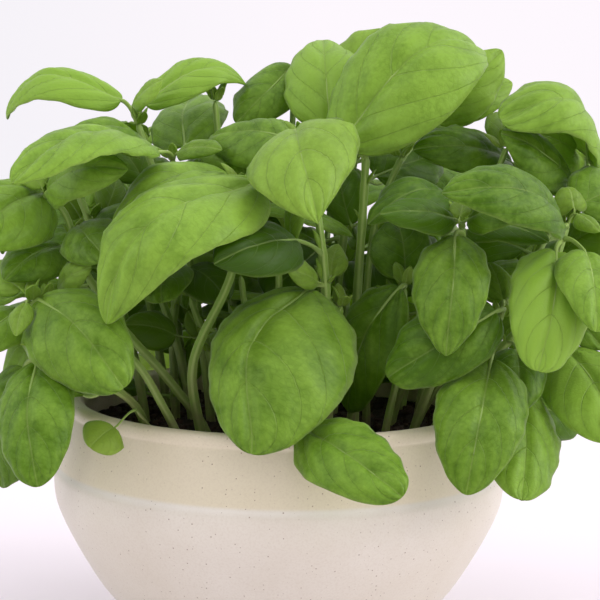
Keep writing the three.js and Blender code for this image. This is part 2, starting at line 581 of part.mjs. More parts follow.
function solidsMeet(one, other) {
  if (!one.box.clone().expandByScalar(leafClearance + 1).intersectsBox(other.box)) return false;
  if (one.triangles && other.triangles) {
    const distance = leafClearance + bladeThickness;
    return one.triangles.some((a) => near(a, other.box, distance)
      && other.triangles.some((b) => near(a, new THREE.Box3().setFromPoints([b.a, b.b, b.c]), distance)
        && trianglesMeet(a, b, distance)));
  }
  if (one.spine && other.spine) {
    const distance = one.radius + other.radius + leafClearance;
    return one.spine.some((a) => other.spine.some((b) => a.distanceSqToLine3(b) < distance * distance));
  }
  const [sheet, tube] = one.triangles ? [one, other] : [other, one];
  const distance = tube.radius + leafClearance + bladeThickness / 2;
  return sheet.triangles.some((a) => near(a, tube.box, distance)
    && tube.spine.some((line) => lineMeetsTriangle(line, a, distance)));
}

// The bowl's outside radius at a height.
function bowlRadius(z) {
  if (z > pot.height - pot.collarDepth) {
    return mix(pot.rimRadius, pot.collarRadius, (pot.height - z) / pot.collarDepth);
  }
  return pot.bellyRadius;
}

function clearOfPot(point, room) {
  if (point.z > pot.height + room) return true;
  const r = Math.hypot(point.x, point.y);
  if (r > bowlRadius(point.z) + room) return true;
  return r < pot.rimRadius - pot.wall - room && point.z > soil.top + soil.relief + room;
}

const sampleRows = [0.12, 0.3, 0.5, 0.7, 0.88, 1];
function leafSamples(leaf) {
  const frame = leafFrame(leaf);
  return sampleRows.flatMap((t) => [-1, -0.5, 0, 0.5, 1].map((u) => leafPoint(leaf, frame, t, u)));
}

function insideOutline([x, y], corners) {
  let inside = false;
  corners.forEach(([ax, ay], i) => {
    const [bx, by] = corners[(i + 1) % corners.length];
    if ((ay > y) !== (by > y) && x < ax + (bx - ax) * (y - ay) / (by - ay)) inside = !inside;
  });
  return inside;
}

const shownInView = [];   // each shown leaf's outline in the picture and its distance from the eye
function rememberInView(leaf) {
  const frame = leafFrame(leaf);
  const rows = [0.05, 0.2, 0.4, 0.6, 0.8, 0.95];
  const corners = [
    ...rows.map((t) => leafPoint(leaf, frame, t, 1)),
    leaf.tip,
    ...rows.toReversed().map((t) => leafPoint(leaf, frame, t, -1)),
  ];
  const middle = leafPoint(leaf, frame, 0.5, 0);
  shownInView.push({ corners: corners.map(toView), distance: middle.distanceTo(view.eye) });
}

function skylineAt(x) {
  const i = skyline.findIndex(([px]) => px > x);
  if (i <= 0) return skyline[0][1];
  const [[ax, ay], [bx, by]] = [skyline[i - 1], skyline[i]];
  return mix(ay, by, (x - ax) / (bx - ax));
}

function within([x, y], { left, right, top }) {
  return x > left && x < right && y > top;
}

// A leaf that grows by rule keeps out of the shown leaves' sight.
function hidesNothing(points) {
  return points.every((point) => {
    const seen = toView(point);
    if (seen[1] < skylineAt(seen[0])) return false;
    if (point.y < 0 && within(seen, bowlInView)) return false;
    if (point.y < 40 && within(seen, soilInView)) return false;
    const distance = point.distanceTo(view.eye);
    return shownInView.every((shownLeaf) => distance > shownLeaf.distance
      || !insideOutline(seen, shownLeaf.corners));
  });
}

function tryLeaf(stem, leaf, byRule) {
  const samples = leafSamples(leaf);
  if (!samples.every((point) => clearOfPot(point, potClearance))) return null;
  if (byRule && !hidesNothing(samples)) return null;
  const sheet = sheetSolid(stem, leaf);
  const curve = stalkCurve(stem, leaf);
  const stalk = tubeSolid(stem, curve, petioleRadius, 6, 'stalk');
  if (!stalk.spine.every((line) => clearOfPot(line.end, petioleRadius + 1))) return null;
  for (const other of placed) {
    if (solidsMeet(sheet, other)) return null;
    const joined = other.stem === stem && other.part;
    if (!joined && solidsMeet(stalk, other)) return null;
  }
  return [sheet, stalk];
}

// ---- Growing the plant ----

function makeStem({ name, girth }, points) {
  const root = points[0].clone().setZ(soil.top - soil.sink);
  const stem = { name, radius: girth / 2, points: [root, ...points], leaves: [] };
  stem.curve = stemCurve(stem);
  stem.steps = Math.max(Math.round(stem.curve.getLength() / 34) + 1, points.length);
  stem.solid = tubeSolid(stem, stem.curve, stem.radius, 14, 'stem');
  const touching = placed.find((other) => solidsMeet(stem.solid, other));
  if (touching) throw new Error(`${name} touches ${touching.stem.name}`);
  placed.push(stem.solid);
  return stem;
}

function shownStem(spec) {
  const foot = new THREE.Vector3(...spec.root, soil.top);
  const passes = spec.route.map(([px, py, depth]) => fromView([px, py], depth));
  return makeStem(spec, [foot, ...passes]);
}

const random = randomFrom(hidden.seed);
function between([low, high]) {
  return mix(low, high, random());
}

function hiddenStems(ring) {
  return Array.from({ length: ring.count }, (_, i) => {
    const step = (ring.azimuth[1] - ring.azimuth[0]) / (ring.count - 1);
    const azimuth = radians(ring.azimuth[0] + step * (i + mix(-0.15, 0.15, random())));
    const outward = new THREE.Vector3(Math.cos(azimuth), Math.sin(azimuth), 0);
    const radius = between(ring.radius);
    const height = between(ring.height);
    const foot = outward.clone().multiplyScalar(radius).setZ(soil.top);
    const lean = radius * hidden.splay;
    const middle = foot.clone().addScaledVector(outward, 0.35 * lean).addScaledVector(up, 0.5 * height);
    const top = foot.clone().addScaledVector(outward, lean).addScaledVector(up, height);
    const spec = { name: `${ring.name}_${i + 1}`, girth: between(hidden.girth) };
    return makeStem(spec, [foot, middle, top]);
  });
}

function finishLeaf(leaf) {
  return { arch: 0.15, cup: 0.28, peak: 0.5, full: 1, wave: 0.03, phase: 6.3 * random(), ...leaf };
}

function shownLeaf(spec) {
  const base = fromView(spec.base, spec.depth);
  const tip = fromViewAt(spec.tip, base, spec.long, spec.nearer);
  return finishLeaf({ ...spec, base, tip, face: direction(...spec.face) });
}

// The same leaf a little nearer or further along the line of sight.
function alongSight(leaf, shift) {
  const move = (point) => point.clone().addScaledVector(point.clone().sub(view.eye).normalize(), shift);
  return { ...leaf, base: move(leaf.base), tip: move(leaf.tip) };
}

// The same leaf swung about its base.
function swung(leaf, turn, way, scale) {
  const along = leaf.tip.clone().sub(leaf.base);
  const side = new THREE.Vector3().crossVectors(along, leaf.face).normalize();
  const rise = new THREE.Vector3().crossVectors(side, along).normalize();
  const angle = 2 * Math.PI * way / swingWays;
  const axis = side.multiplyScalar(Math.cos(angle)).addScaledVector(rise, Math.sin(angle));
  const tip = along.clone().multiplyScalar(scale).applyAxisAngle(axis, radians(turn)).add(leaf.base);
  const face = leaf.face.clone().applyAxisAngle(axis, radians(turn));
  return { ...leaf, tip, face, wide: leaf.wide * scale };
}

function* swings(leaf, steps, scales) {
  for (const scale of scales) {
    yield swung(leaf, 0, 0, scale);
    for (const turn of steps) {
      for (let way = 0; way < swingWays; way += 1) yield swung(leaf, turn, way, scale);
    }
  }
}

function* shownTries(leaf) {
  for (const shift of sightSteps) yield alongSight(leaf, shift);
  for (const shift of sightSteps) yield* swings(alongSight(leaf, shift), [5, 10, 16], [1, 0.92]);
}

function settle(stem, tries, byRule) {
  for (const leaf of tries) {
    const solids = tryLeaf(stem, leaf, byRule);
    if (solids) {
      placed.push(...solids);
      stem.leaves.push(leaf);
      return leaf;
    }
  }
  return null;
}

// A pair of opposite leaves: pair 3 is the youngest, at the tip.
function ruledLeaf(stem, pair, azimuth) {
  const at = pairRule.share[pair];
  const long = pairRule.long[pair] * mix(0.86, 1.1, random());
  const start = stem.curve.getPointAt(at);
  const axis = direction(azimuth, pairRule.elevation[pair] + mix(-10, 10, random()));
  const outward = direction(azimuth, 0);
  const base = start.clone().addScaledVector(axis, long * pairRule.stalk + stem.radius);
  const tip = base.clone().addScaledVector(axis, long).addScaledVector(up, -pairRule.droop * long);
  const face = outward.multiplyScalar(mix(0.2, 0.6, random())).add(up);
  const wide = long * pairRule.slender * mix(0.9, 1.1, random());
  return finishLeaf({ ruled: true, at, base, tip, wide, face, arch: pairRule.arch * mix(0.6, 1.5, random()) });
}

function growByRule(stem, pairs) {
  const first = 360 * random();
  for (const pair of pairs) {
    for (const way of [0, 180]) {
      const azimuth = first + 90 * pair + way + mix(-14, 14, random());
      settle(stem, swings(ruledLeaf(stem, pair, azimuth), swingSteps, fillerScales), true);
    }
  }
}

const shownStems = shown.map(shownStem);
const hiddenOnes = hidden.rings.flatMap(hiddenStems);
shownStems.forEach((stem, i) => {
  for (const spec of shown[i].leaves) {
    const leaf = settle(stem, shownTries(shownLeaf(spec)), false);
    if (!leaf) throw new Error(`no room for the leaf of ${stem.name} at ${spec.base}`);
    rememberInView(leaf);
  }
});
for (const stem of hiddenOnes) growByRule(stem, [3, 2, 1, 0]);
for (const stem of shownStems) growByRule(stem, [2, 1, 0]);
for (const stem of hiddenOnes) growByRule(stem, [1, 0]);   // side shoots, where there is room

// ---- From closed shapes to solids ----

function toSolid(geometry) {
  const bare = new THREE.BufferGeometry();
  bare.setAttribute('position', geometry.attributes.position.clone());
  if (geometry.index) bare.setIndex(geometry.index.clone());
  const joined = mergeVertices(bare, 1e-4);
  return new wasm.Manifold(new wasm.Mesh({
    numProp: 3,
    vertProperties: new Float32Array(joined.attributes.position.array),
    triVerts: new Uint32Array(joined.index.array),
  }));
}

function toGeometry(solid) {
  const mesh = solid.getMesh();
  const geometry = new THREE.BufferGeometry();
  geometry.setAttribute('position', new THREE.BufferAttribute(mesh.vertProperties, 3));
  geometry.setIndex(new THREE.BufferAttribute(mesh.triVerts, 1));
  return geometry;
}

function leafyStemGeometry(stem) {
  let solid = toSolid(tubeGeometry(stem.curve, stem.radius, stemTaper, stemSides, stem.steps));
  for (const leaf of stem.leaves) {
    solid = solid.add(toSolid(leafGeometry(stem, leaf)));
  }
  return toGeometry(solid);
}

// ---- Bowl and soil ----

// The outside from the foot up to the top of the collar, and the inside down to the floor.
const bowlOutside = [
  [pot.footRadius, 0], [68.8, 19.5], [78.2, 31], [86.4, 44], [94.4, 59],
  [pot.bellyRadius, pot.bellyHeight], [98.6, 80.5],
  [pot.collarRadius, pot.height - pot.collarDepth], [pot.rimRadius, 110],
];
const bowlInside = [
  [85.8, 109], [86.6, 98], [91.4, 82], [91.9, 72], [85.5, 54], [73.2, 34], [49.5, 9.5],
];
const bowlFloor = 8;

function latheSolid(profile) {
  const points = profile.map(([r, z]) => new THREE.Vector2(r, z));
  const geometry = new THREE.LatheGeometry(points, pot.sides);
  return geometry.rotateX(Math.PI / 2);
}

function bowlGeometry() {
  const rimTop = [[90, pot.height], [87.4, pot.height]];
  return toGeometry(toSolid(latheSolid([[0, 0], ...bowlOutside, ...rimTop, ...bowlInside, [0, bowlFloor]])));
}

// Lumps in the soil: a few crossing waves, level at the bowl.
function soilRelief(x, y) {
  const edge = 1 - (Math.hypot(x, y) / pot.rimRadius) ** 4;
  return soil.relief * edge * (0.5 * Math.sin(0.11 * x + 1) + 0.5 * Math.cos(0.13 * y - 0.05 * x)
    + 0.4 * Math.sin(0.29 * x + 0.23 * y));
}

function soilGeometry() {
  const side = bowlInside.filter((_, i) => soil.sidePoints.includes(i))
    .map(([r, z]) => [r - soil.gap, z + soil.gap]);
  const edge = side[0][0];
  const rings = Array.from({ length: soil.rings }, (_, i) => [edge * (1 - i / soil.rings), soil.top]);
  const profile = [[0, bowlFloor + 2 * soil.gap], ...side.toReversed(), ...rings];
  const body = latheSolid([...profile, [0, soil.top]]);
  const positions = body.attributes.position;
  for (let i = 0; i < positions.count; i += 1) {
    if (positions.getZ(i) > soil.top - 0.01) {
      positions.setZ(i, soil.top + soilRelief(positions.getX(i), positions.getY(i)));
    }
  }
  let solid = toSolid(body);
  for (const stem of [...shownStems, ...hiddenOnes]) {
    const [root, ...above] = stem.points;
    const bottom = root.clone().addScaledVector(up, -soil.holeGap);
    const hole = new THREE.CatmullRomCurve3([bottom, ...above], false, 'centripetal');
    const around = tubeGeometry(hole, stem.radius + soil.holeGap, stemTaper, stemSides, stem.steps);
    solid = solid.subtract(toSolid(around));
  }
  return toGeometry(solid);
}

// ---- The model ----

function addPiece(name, geometry, color, roughness) {
  const material = new THREE.MeshStandardMaterial({ color, roughness, metalness: 0 });
  const mesh = new THREE.Mesh(geometry, material);
  mesh.name = name;
  plant.add(mesh);
}

const plant = new THREE.Group();
addPiece('pot', bowlGeometry(), '#dcd0bd', 0.32);
addPiece('soil', soilGeometry(), '#2c221d', 0.95);
const leafGreens = ['#78a044', '#86ab4d', '#73903b', '#8ead50', '#678a35'];
[...shownStems, ...hiddenOnes].forEach((stem, i) => {
  addPiece(stem.name, leafyStemGeometry(stem), leafGreens[i % leafGreens.length], 0.5);
});

export default plant;
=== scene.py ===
# A potted basil plant: a glazed bowl filled with soil, with a bush of leafy stems.
# Lengths are worked out in millimetres and go into the meshes in metres.
import math
from random import Random

import bmesh
import bpy
from mathutils import Matrix, Quaternion, Vector, noise
from mathutils.kdtree import KDTree


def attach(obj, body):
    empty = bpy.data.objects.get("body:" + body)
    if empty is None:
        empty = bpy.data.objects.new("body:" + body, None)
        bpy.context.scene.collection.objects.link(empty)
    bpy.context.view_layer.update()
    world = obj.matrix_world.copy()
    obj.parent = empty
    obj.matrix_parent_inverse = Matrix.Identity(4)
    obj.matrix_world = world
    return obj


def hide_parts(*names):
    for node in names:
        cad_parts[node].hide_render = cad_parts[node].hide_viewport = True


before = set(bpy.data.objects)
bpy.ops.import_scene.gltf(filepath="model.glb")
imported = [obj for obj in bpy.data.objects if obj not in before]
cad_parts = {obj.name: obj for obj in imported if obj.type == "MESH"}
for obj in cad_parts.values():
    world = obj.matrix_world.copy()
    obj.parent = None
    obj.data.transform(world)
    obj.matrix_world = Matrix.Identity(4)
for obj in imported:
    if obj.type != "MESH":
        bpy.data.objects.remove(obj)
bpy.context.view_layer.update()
print("frame loaded:", len(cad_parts), "solids")

mm = 0.001
skyward = Vector((0, 0, 1))

# The photograph's viewpoint. A pair of pixels is a place in its 600 x 600 picture.
viewpoint = {
    "eye": Vector((0, -850, 262)),
    "target": Vector((8, 0, 155)),
    "focal": 1955,          # pixels
    "roll": 0.017,          # radians
    "picture": 600,         # pixels across
    "sensor": 36,
    "sees": (0.05, 60),     # metres, from and to
}
viewForward = (viewpoint["target"] - viewpoint["eye"]).normalized()
viewRight = viewForward.cross(skyward).normalized()
viewUp = viewRight.cross(viewForward)


def addObject(name, data):
    made = bpy.data.objects.new(name, data)
    bpy.context.scene.collection.objects.link(made)
    return made


def placeCamera():
    camera = addObject("camera", bpy.data.cameras.new("camera"))
    camera.data.sensor_width = viewpoint["sensor"]
    camera.data.lens = viewpoint["sensor"] * viewpoint["focal"] / viewpoint["picture"]
    camera.data.clip_start, camera.data.clip_end = viewpoint["sees"]
    turn = Matrix((viewRight, viewUp, -viewForward)).transposed().to_4x4()
    roll = Matrix.Rotation(viewpoint["roll"], 4, "Z")
    camera.matrix_world = Matrix.Translation(viewpoint["eye"] * mm) @ turn @ roll
    bpy.context.scene.camera = camera


placeCamera()
print("camera placed")


# Materials: one wrapper for the output of a shader node.

class Wire:
    def __init__(self, tree, socket=None):
        self.tree, self.socket = tree, socket

    def add(self, kind, settings=None, values=None, output=0):  # its type, its settings, its sockets
        node = self.tree.nodes.new(kind)
        for name, value in (settings or {}).items():
            if name == "stops":
                fillRamp(node.color_ramp, value)
            else:
                setattr(node, name, value)
        for name, value in (values or {}).items():
            if isinstance(value, Wire):
                self.tree.links.new(value.socket, node.inputs[name])
            else:
                node.inputs[name].default_value = value
        return Wire(self.tree, node.outputs[output])

    def maths(self, operation, *terms):
        return self.add("ShaderNodeMath", {"operation": operation}, dict(enumerate(terms)))

    def __add__(self, other): return self.maths("ADD", self, other)
    def __radd__(self, other): return self.maths("ADD", other, self)
    def __sub__(self, other): return self.maths("SUBTRACT", self, other)
    def __rsub__(self, other): return self.maths("SUBTRACT", other, self)
    def __mul__(self, other): return self.maths("MULTIPLY", self, other)
    def __rmul__(self, other): return self.maths("MULTIPLY", other, self)
    def __truediv__(self, other): return self.maths("DIVIDE", self, other)
    def __abs__(self): return self.maths("ABSOLUTE", self)

    def within(self, low, high):  # 0 at low, 1 at high
        return self.add("ShaderNodeMapRange", {"clamp": True}, {0: self, 1: low, 2: high})

    def tint(self, start, end):  # this share of the way from one colour to another
        start, end = (colour if isinstance(colour, Wire) else (*colour, 1) for colour in (start, end))
        return self.add("ShaderNodeMix", {"data_type": "RGBA"}, {0: self, 6: start, 7: end}, 2)

    def parts(self):
        split = self.add("ShaderNodeSeparateXYZ", None, {0: self}).socket.node
        return [Wire(self.tree, output) for output in split.outputs]


def fillRamp(ramp, stops):
    while len(ramp.elements) < len(stops):
        ramp.elements.new(0.5)
    for element, (place, colour) in zip(ramp.elements, stops):
        element.position, element.color = place, (*colour, 1)


def startMaterial(name, shine):
    material = bpy.data.materials.new(name)
    material.use_nodes = True
    tree = material.node_tree
    shader = tree.nodes["Principled BSDF"]
    for socket, value in shine.items():
        shader.inputs[socket].default_value = value
    return material, Wire(tree), shader


def feed(wire, shader, **sockets):  # Base_Color=..., Roughness=..., Normal=...
    for name, value in sockets.items():
        wire.tree.links.new(value.socket, shader.inputs[name.replace("_", " ")])


def objectPlace(wire):
    return wire.add("ShaderNodeTexCoord", output=3)


def attribute(wire, name, output=1):  # output 1 is its vector, 2 its number
    return wire.add("ShaderNodeAttribute", {"attribute_name": name}, output=output)


def grain(wire, place, scale, detail=3, roughness=0.5):
    return wire.add("ShaderNodeTexNoise", None,
                    {"Vector": place, "Scale": scale, "Detail": detail, "Roughness": roughness})


def drawnOut(wire, place, shares, scale, detail):  # a grain that is longer one way than the other
    return grain(wire, wire.add("ShaderNodeMapping", None, {"Vector": place, "Scale": shares}), scale, detail)


def bumps(wire, height, strength, deep):  # deep: mm
    return wire.add("ShaderNodeBump", None, {"Strength": strength, "Distance": deep * mm, "Height": height})


def roughness(amounts, *patterns):  # the least, and how much each pattern adds
    total, *shares = amounts
    for pattern, share in zip(patterns, shares):
        total = total + pattern * share
    return total


def mixShaders(wire, share, first, second):
    return wire.add("ShaderNodeMixShader", None, {0: share, 1: first, 2: second})


def layOver(wire, shader, share, other):  # the surface is this share of another shader
    mixed = mixShaders(wire, share, Wire(wire.tree, shader.outputs[0]), other)
    wire.tree.links.new(mixed.socket, wire.tree.nodes["Material Output"].inputs[0])


# What the pieces are made of. Colours are linear. A look's shares say how much a pattern shows.

bladeLook = {
    "light": (0.315, 0.535, 0.06),
    "dark": (0.064, 0.150, 0.002),
    "young": (0.36, 0.52, 0.07),
    # painted shade for leaves deep in the bush: a tone below 0 darkens a blade towards this
    "bushShade": (0.028, 0.068, 0.002),
    "under": (0.25, 0.40, 0.05),
    "vein": (0.42, 0.58, 0.14),
    "glow": (0.38, 0.58, 0.02),     # light that comes through the blade
    "glowShare": 0.35,
    "shine": {"Specular IOR Level": 0.26, "Sheen Weight": 0.12, "Sheen Roughness": 0.35},
    "roughness": (0.33, 0.16, 0.14),            # of the upper side, more in a cloud, more below
    "cloudScale": 0.9, "spotScale": 5, "netScale": 5.5,     # for each centimetre
    "netLine": 0.16,                # width of the fine net's lines, for its cells
    "netApart": 37,                 # how far apart the patterns of two leaves lie, for their tones
    "sideVeinWidth": 0.03,          # of the space between two side veins
    "midribWidth": 0.048,           # centimetres
    "marginFrom": 0.93,             # of the half width
    "cloudShare": 1.0, "swellShadeShare": 0.1, "netShare": 0.12, "spotShare": 0.7,
    "above": (0.42, 0.24, 0.3),     # shares of the midrib, the side veins and the margin
    "below": (0.5, 0.45),           # shares of the midrib and the side veins
    "netHigh": 0.12, "veinDeep": 0.8, "midribDeep": 0.5, "spotHigh": 0.2,
    "bumps": (0.6, 0.7),
}


def bladeMaterial():
    look = bladeLook
    material, wire, shader = startMaterial("basilBlade", look["shine"])
    across, along, phase = attribute(wire, "blade").parts()
    tone, under, young = attribute(wire, "growth").parts()
    margin = attribute(wire, "margin", 2).within(look["marginFrom"], 1)
    flat = wire.add("ShaderNodeCombineXYZ", None, {0: across, 1: along, 2: tone * look["netApart"]})
    cloud, spots = grain(wire, flat, look["cloudScale"]), grain(wire, flat, look["spotScale"])
    toVein = abs(wire.maths("FRACT", phase + 0.5) - 0.5)
    sideVein = 1 - toVein.within(0, look["sideVeinWidth"])
    swell = toVein.within(0, 0.5)
    midrib = 1 - abs(across).within(0, look["midribWidth"])
    net = wire.add("ShaderNodeTexVoronoi", {"feature": "DISTANCE_TO_EDGE"},
                   {"Vector": flat, "Scale": look["netScale"]}).within(0, look["netLine"])
    # The swell term is painted shade in the side veins' furrows and painted light on the swellings between
    # them.
    shade = tone + (cloud - 0.5) * look["cloudShare"] + (swell - 0.5) * look["swellShadeShare"]
    shade = (shade + (net - 1) * look["netShare"] + (spots - 0.5) * look["spotShare"]).within(0, 1)
    upper = young.tint(shade.tint(look["dark"], look["light"]), look["young"])
    # Painted shade: a tone below 0 darkens the upper side towards the bush's shade colour.
    upper = (0 - tone).within(0, 1).tint(upper, look["bushShade"])
    ribShare, veinShare, marginShare = look["above"]
    lines = midrib * ribShare + sideVein * veinShare + margin * marginShare
    upper = lines.within(0, 1).tint(upper, look["vein"])
    ribShare, veinShare = look["below"]
    lower = (midrib * ribShare + sideVein * veinShare).within(0, 1).tint(look["under"], look["vein"])
    height = (net * look["netHigh"] - sideVein * look["veinDeep"] - midrib * look["midribDeep"]
              + spots * look["spotHigh"])
    feed(wire, shader, Base_Color=under.tint(upper, lower),
         Roughness=roughness(look["roughness"], cloud, under), Normal=bumps(wire, height, *look["bumps"]))
    glow = wire.add("ShaderNodeBsdfTranslucent", None, {"Color": (*look["glow"], 1)})
    layOver(wire, shader, look["glowShare"], glow)
    return material


stalkLook = {
    "green": (0.27, 0.43, 0.065),
    "edge": (0.37, 0.50, 0.14),
    "dull": (0.15, 0.26, 0.04),
    "tinge": (0.21, 0.15, 0.10),    # the brownish foot of an older stem
    "shine": {"Specular IOR Level": 0.4},
    "streaks": ((1, 1, 0.16), 1400, 2),
    "cloudScale": 120,
    "toneAndShadeShare": 0.5, "cloudShare": 0.6, "skinFade": (0.15, 0.85),
    "sharpness": (0.5, 0.7),        # of an edge's colour, and more in a streak
    "age": (1.8, 0.35),             # how patchy the tinge is, and how much of it is left out
    "roughness": (0.42, 0.2),       # and more in a streak
    "bumps": (0.4, 0.4),
}


def stalkMaterial():
    look = stalkLook
    material, wire, shader = startMaterial("basilStalk", look["shine"])
    edge, low, tone = attribute(wire, "growth").parts()
    place = objectPlace(wire)
    streaks, cloud = drawnOut(wire, place, *look["streaks"]), grain(wire, place, look["cloudScale"])
    skin = (tone * look["toneAndShadeShare"] + cloud * look["cloudShare"]).within(*look["skinFade"])
    skin = skin.tint(look["dull"], look["green"])
    least, more = look["sharpness"]
    sharp = (edge * (least + streaks * more)).within(0, 1).tint(skin, look["edge"])
    patchy, less = look["age"]
    aged = (low * (cloud * patchy - less)).within(0, 1).tint(sharp, look["tinge"])
    feed(wire, shader, Base_Color=aged, Roughness=roughness(look["roughness"], streaks),
         Normal=bumps(wire, streaks, *look["bumps"]))
    return material


soilLook = {
    "ground": [(0.28, (0.006, 0.0045, 0.004)), (0.5, (0.022, 0.013, 0.010)),
               (0.66, (0.055, 0.030, 0.022)), (0.82, (0.105, 0.058, 0.050))],
    "crumbs": [(0.2, (0.012, 0.008, 0.007)), (0.5, (0.045, 0.025, 0.019)),
               (0.75, (0.11, 0.062, 0.048)), (0.92, (0.20, 0.13, 0.10))],
    "groundScale": 330, "crumbScale": 210, "lumps": (6, 0.68),
    "shine": {"Specular IOR Level": 0.3},
    "fibres": ((1, 0.22, 1), 900, 3),
    "lumpShare": 0.75, "fibreShare": 0.25, "fibreHigh": 0.4,
    "roughness": (0.78, 0.2),       # and more on a fibre
    "bumps": (0.8, 1.2),
}


def soilMaterial(name, stops, scale):
    look = soilLook
    material, wire, shader = startMaterial(name, look["shine"])
    place = objectPlace(wire)
    lumps, fibres = grain(wire, place, scale, *look["lumps"]), drawnOut(wire, place, *look["fibres"])
    shade = lumps * look["lumpShare"] + fibres * look["fibreShare"]
    feed(wire, shader, Base_Color=wire.add("ShaderNodeValToRGB", {"stops": stops}, {0: shade}),
         Roughness=roughness(look["roughness"], fibres),
         Normal=bumps(wire, lumps + fibres * look["fibreHigh"], *look["bumps"]))
    return material


glazeLook = {
    "pale": (0.765, 0.725, 0.625),
    "warm": (0.705, 0.655, 0.545),
    "shine": {"Specular IOR Level": 0.5, "Coat Weight": 0.12, "Coat Roughness": 0.2},
    "cloud": (22, 4, 0.6), "cloudFade": (0.3, 0.7),
    "collar": (0.72, 0.645, 0.44),      # painted shade of the leaves: a darker, greener band on the glaze above the ledge
    "collarShadeFrom": 84,                   # mm
    "collarShadeShare": 0.75,
    "ledgeHighlight": (0.85, 0.81, 0.73),         # painted highlight: a lighter band where the top of the ledge catches the light
    "ledgeHighlightAt": 82.4, "ledgeHighlightWidth": 2,     # mm
    "ledgeHighlightShare": 0.55,
    "grit": (0.47, 0.38, 0.26),
    "gritScale": 1150, "gritFade": (0.45, 0.72), "gritShare": 0.16,
    "speck": (0.23, 0.14, 0.08),
    "speckSpace": 1.9,                  # mm between the places where a speck may be
    "speckChance": 0.45,                # how many of these places have one
    "speckSize": (0.05, 0.13),          # the smallest, and how much larger they get
    "speckFade": (0.7, 1.15),           # of its size
    "speckShare": 0.75,
    "rippleScale": 190,
    "roughness": (0.38, 0.12, 0.1),     # more in a ripple, more on a speck
    "rippleHigh": 0.5, "speckDeep": 0.3,
    "bumps": (0.25, 0.5),
}


def glazeMaterial():
    look = glazeLook
    material, wire, shader = startMaterial("speckledGlaze", look["shine"])
    place = objectPlace(wire)
    height = place.parts()[2]
    # Painted shade of the leaves: the glaze above the ledge is darker and greener.
    collar = height.within((look["collarShadeFrom"] - 1) * mm, look["collarShadeFrom"] * mm) * look["collarShadeShare"]
    skin = grain(wire, place, *look["cloud"]).within(*look["cloudFade"]).tint(look["pale"], look["warm"])
    skin = collar.tint(skin, look["collar"])
    grit = grain(wire, place, look["gritScale"], 2).within(*look["gritFade"]) * look["gritShare"]
    skin = grit.tint(skin, look["grit"])
    # Painted highlight: a lighter band along the top of the ledge.
    ledgeHighlight = (1 - abs(height / mm - look["ledgeHighlightAt"]) / look["ledgeHighlightWidth"]).within(0, 1) * look["ledgeHighlightShare"]
    skin = ledgeHighlight.tint(skin, look["ledgeHighlight"])
    cells = {"Vector": place, "Scale": 1 / (look["speckSpace"] * mm)}
    chance = wire.add("ShaderNodeTexVoronoi", None, cells, output=1).parts()[0]
    away = wire.add("ShaderNodeTexVoronoi", None, cells)
    least, more = look["speckSize"]
    size = (look["speckChance"] - chance).within(0, look["speckChance"]) * more + least
    speck = 1 - (away / size).within(*look["speckFade"])
    speck = speck * wire.maths("LESS_THAN", chance, look["speckChance"])
    skin = (speck * look["speckShare"]).tint(skin, look["speck"])
    ripple = grain(wire, place, look["rippleScale"])
    feed(wire, shader, Base_Color=skin, Roughness=roughness(look["roughness"], ripple, speck),
         Normal=bumps(wire, ripple * look["rippleHigh"] - speck * look["speckDeep"], *look["bumps"]))
    return material


clayLook = {
    "light": (0.56, 0.43, 0.32),
    "dark": (0.42, 0.3225, 0.24),
    "shine": {"Specular IOR Level": 0.25},
    "sand": (1600, 4, 0.7),
    "roughness": (0.7, 0.25),
    "bumps": (0.5, 0.3),
}


def clayMaterial():
    look = clayLook
    material, wire, shader = startMaterial("bareClay", look["shine"])
    sand = grain(wire, objectPlace(wire), *look["sand"])
    feed(wire, shader, Base_Color=sand.tint(look["dark"], look["light"]),
         Roughness=roughness(look["roughness"], sand), Normal=bumps(wire, sand, *look["bumps"]))
    return material


# Floor and light. The floor fades into the room's own pale colour, so that no horizon shows.
# A direction is read by its parts to the right, to the back and upwards.
stage = {
    "floorNear": (0.755, 0.70, 0.735),
    "floorFar": (0.775, 0.74, 0.775),
    "floorShine": {"Specular IOR Level": 0.1},
    "floorCloud": (0.8, 1),
    "floorRoughness": (0.8, 0.1),
    "fade": (0.5, 3.2),                 # metres from the bowl
    "reach": 60,                        # metres
    "below": 0.2,                       # mm
    "sky": (0.991, 0.939, 0.991),
    "skyLeft": (0.915, 0.892, 0.938),   # the room is a little darker to the left
    "leftFrom": 0.02, "leftReach": 0.18,
    "frontSky": 0.53,                   # behind the camera, for the brightness at the back
    "backReach": 0.6,
    "topSky": 1.45, "topFade": (0.3, 0.9),
    "rightSky": 0.8, "rightFade": (0.25, 1),    # what the right side adds
    "lights": {                         # place, size, watts
        "key": ((1.2, -0.3, 0.95), 0.9, 8),
        "side": ((-1.1, -0.3, 0.9), 1.2, 4.5),
    },
    "aim": (0, 0, 0.15),
}


def towardsLeft(right):
    return (stage["leftFrom"] - right).within(0, stage["leftReach"])


def floorMaterial():
    material, wire, shader = startMaterial("paleFloor", stage["floorShine"])
    place = objectPlace(wire)
    cloud = grain(wire, place, *stage["floorCloud"])
    feed(wire, shader, Base_Color=cloud.tint(stage["floorNear"], stage["floorFar"]),
         Roughness=roughness(stage["floorRoughness"], cloud))
    away = wire.add("ShaderNodeVectorMath", {"operation": "LENGTH"}, {0: place}, output=1)
    sky, skyLeft = (wire.add("ShaderNodeEmission", None, {"Color": (*stage[name], 1)})
                    for name in ("sky", "skyLeft"))
    haze = mixShaders(wire, towardsLeft(place.parts()[0] / away), sky, skyLeft)
    layOver(wire, shader, away.within(*stage["fade"]), haze)
    return material


def addLight(name, place, size, power):
    light = addObject(name, bpy.data.lights.new(name, "AREA"))
    light.data.shape, light.data.size, light.data.energy = "DISK", size, power
    light.location = place
    light.rotation_mode = "QUATERNION"
    light.rotation_quaternion = (Vector(place) - Vector(stage["aim"])).to_track_quat("Z", "Y")


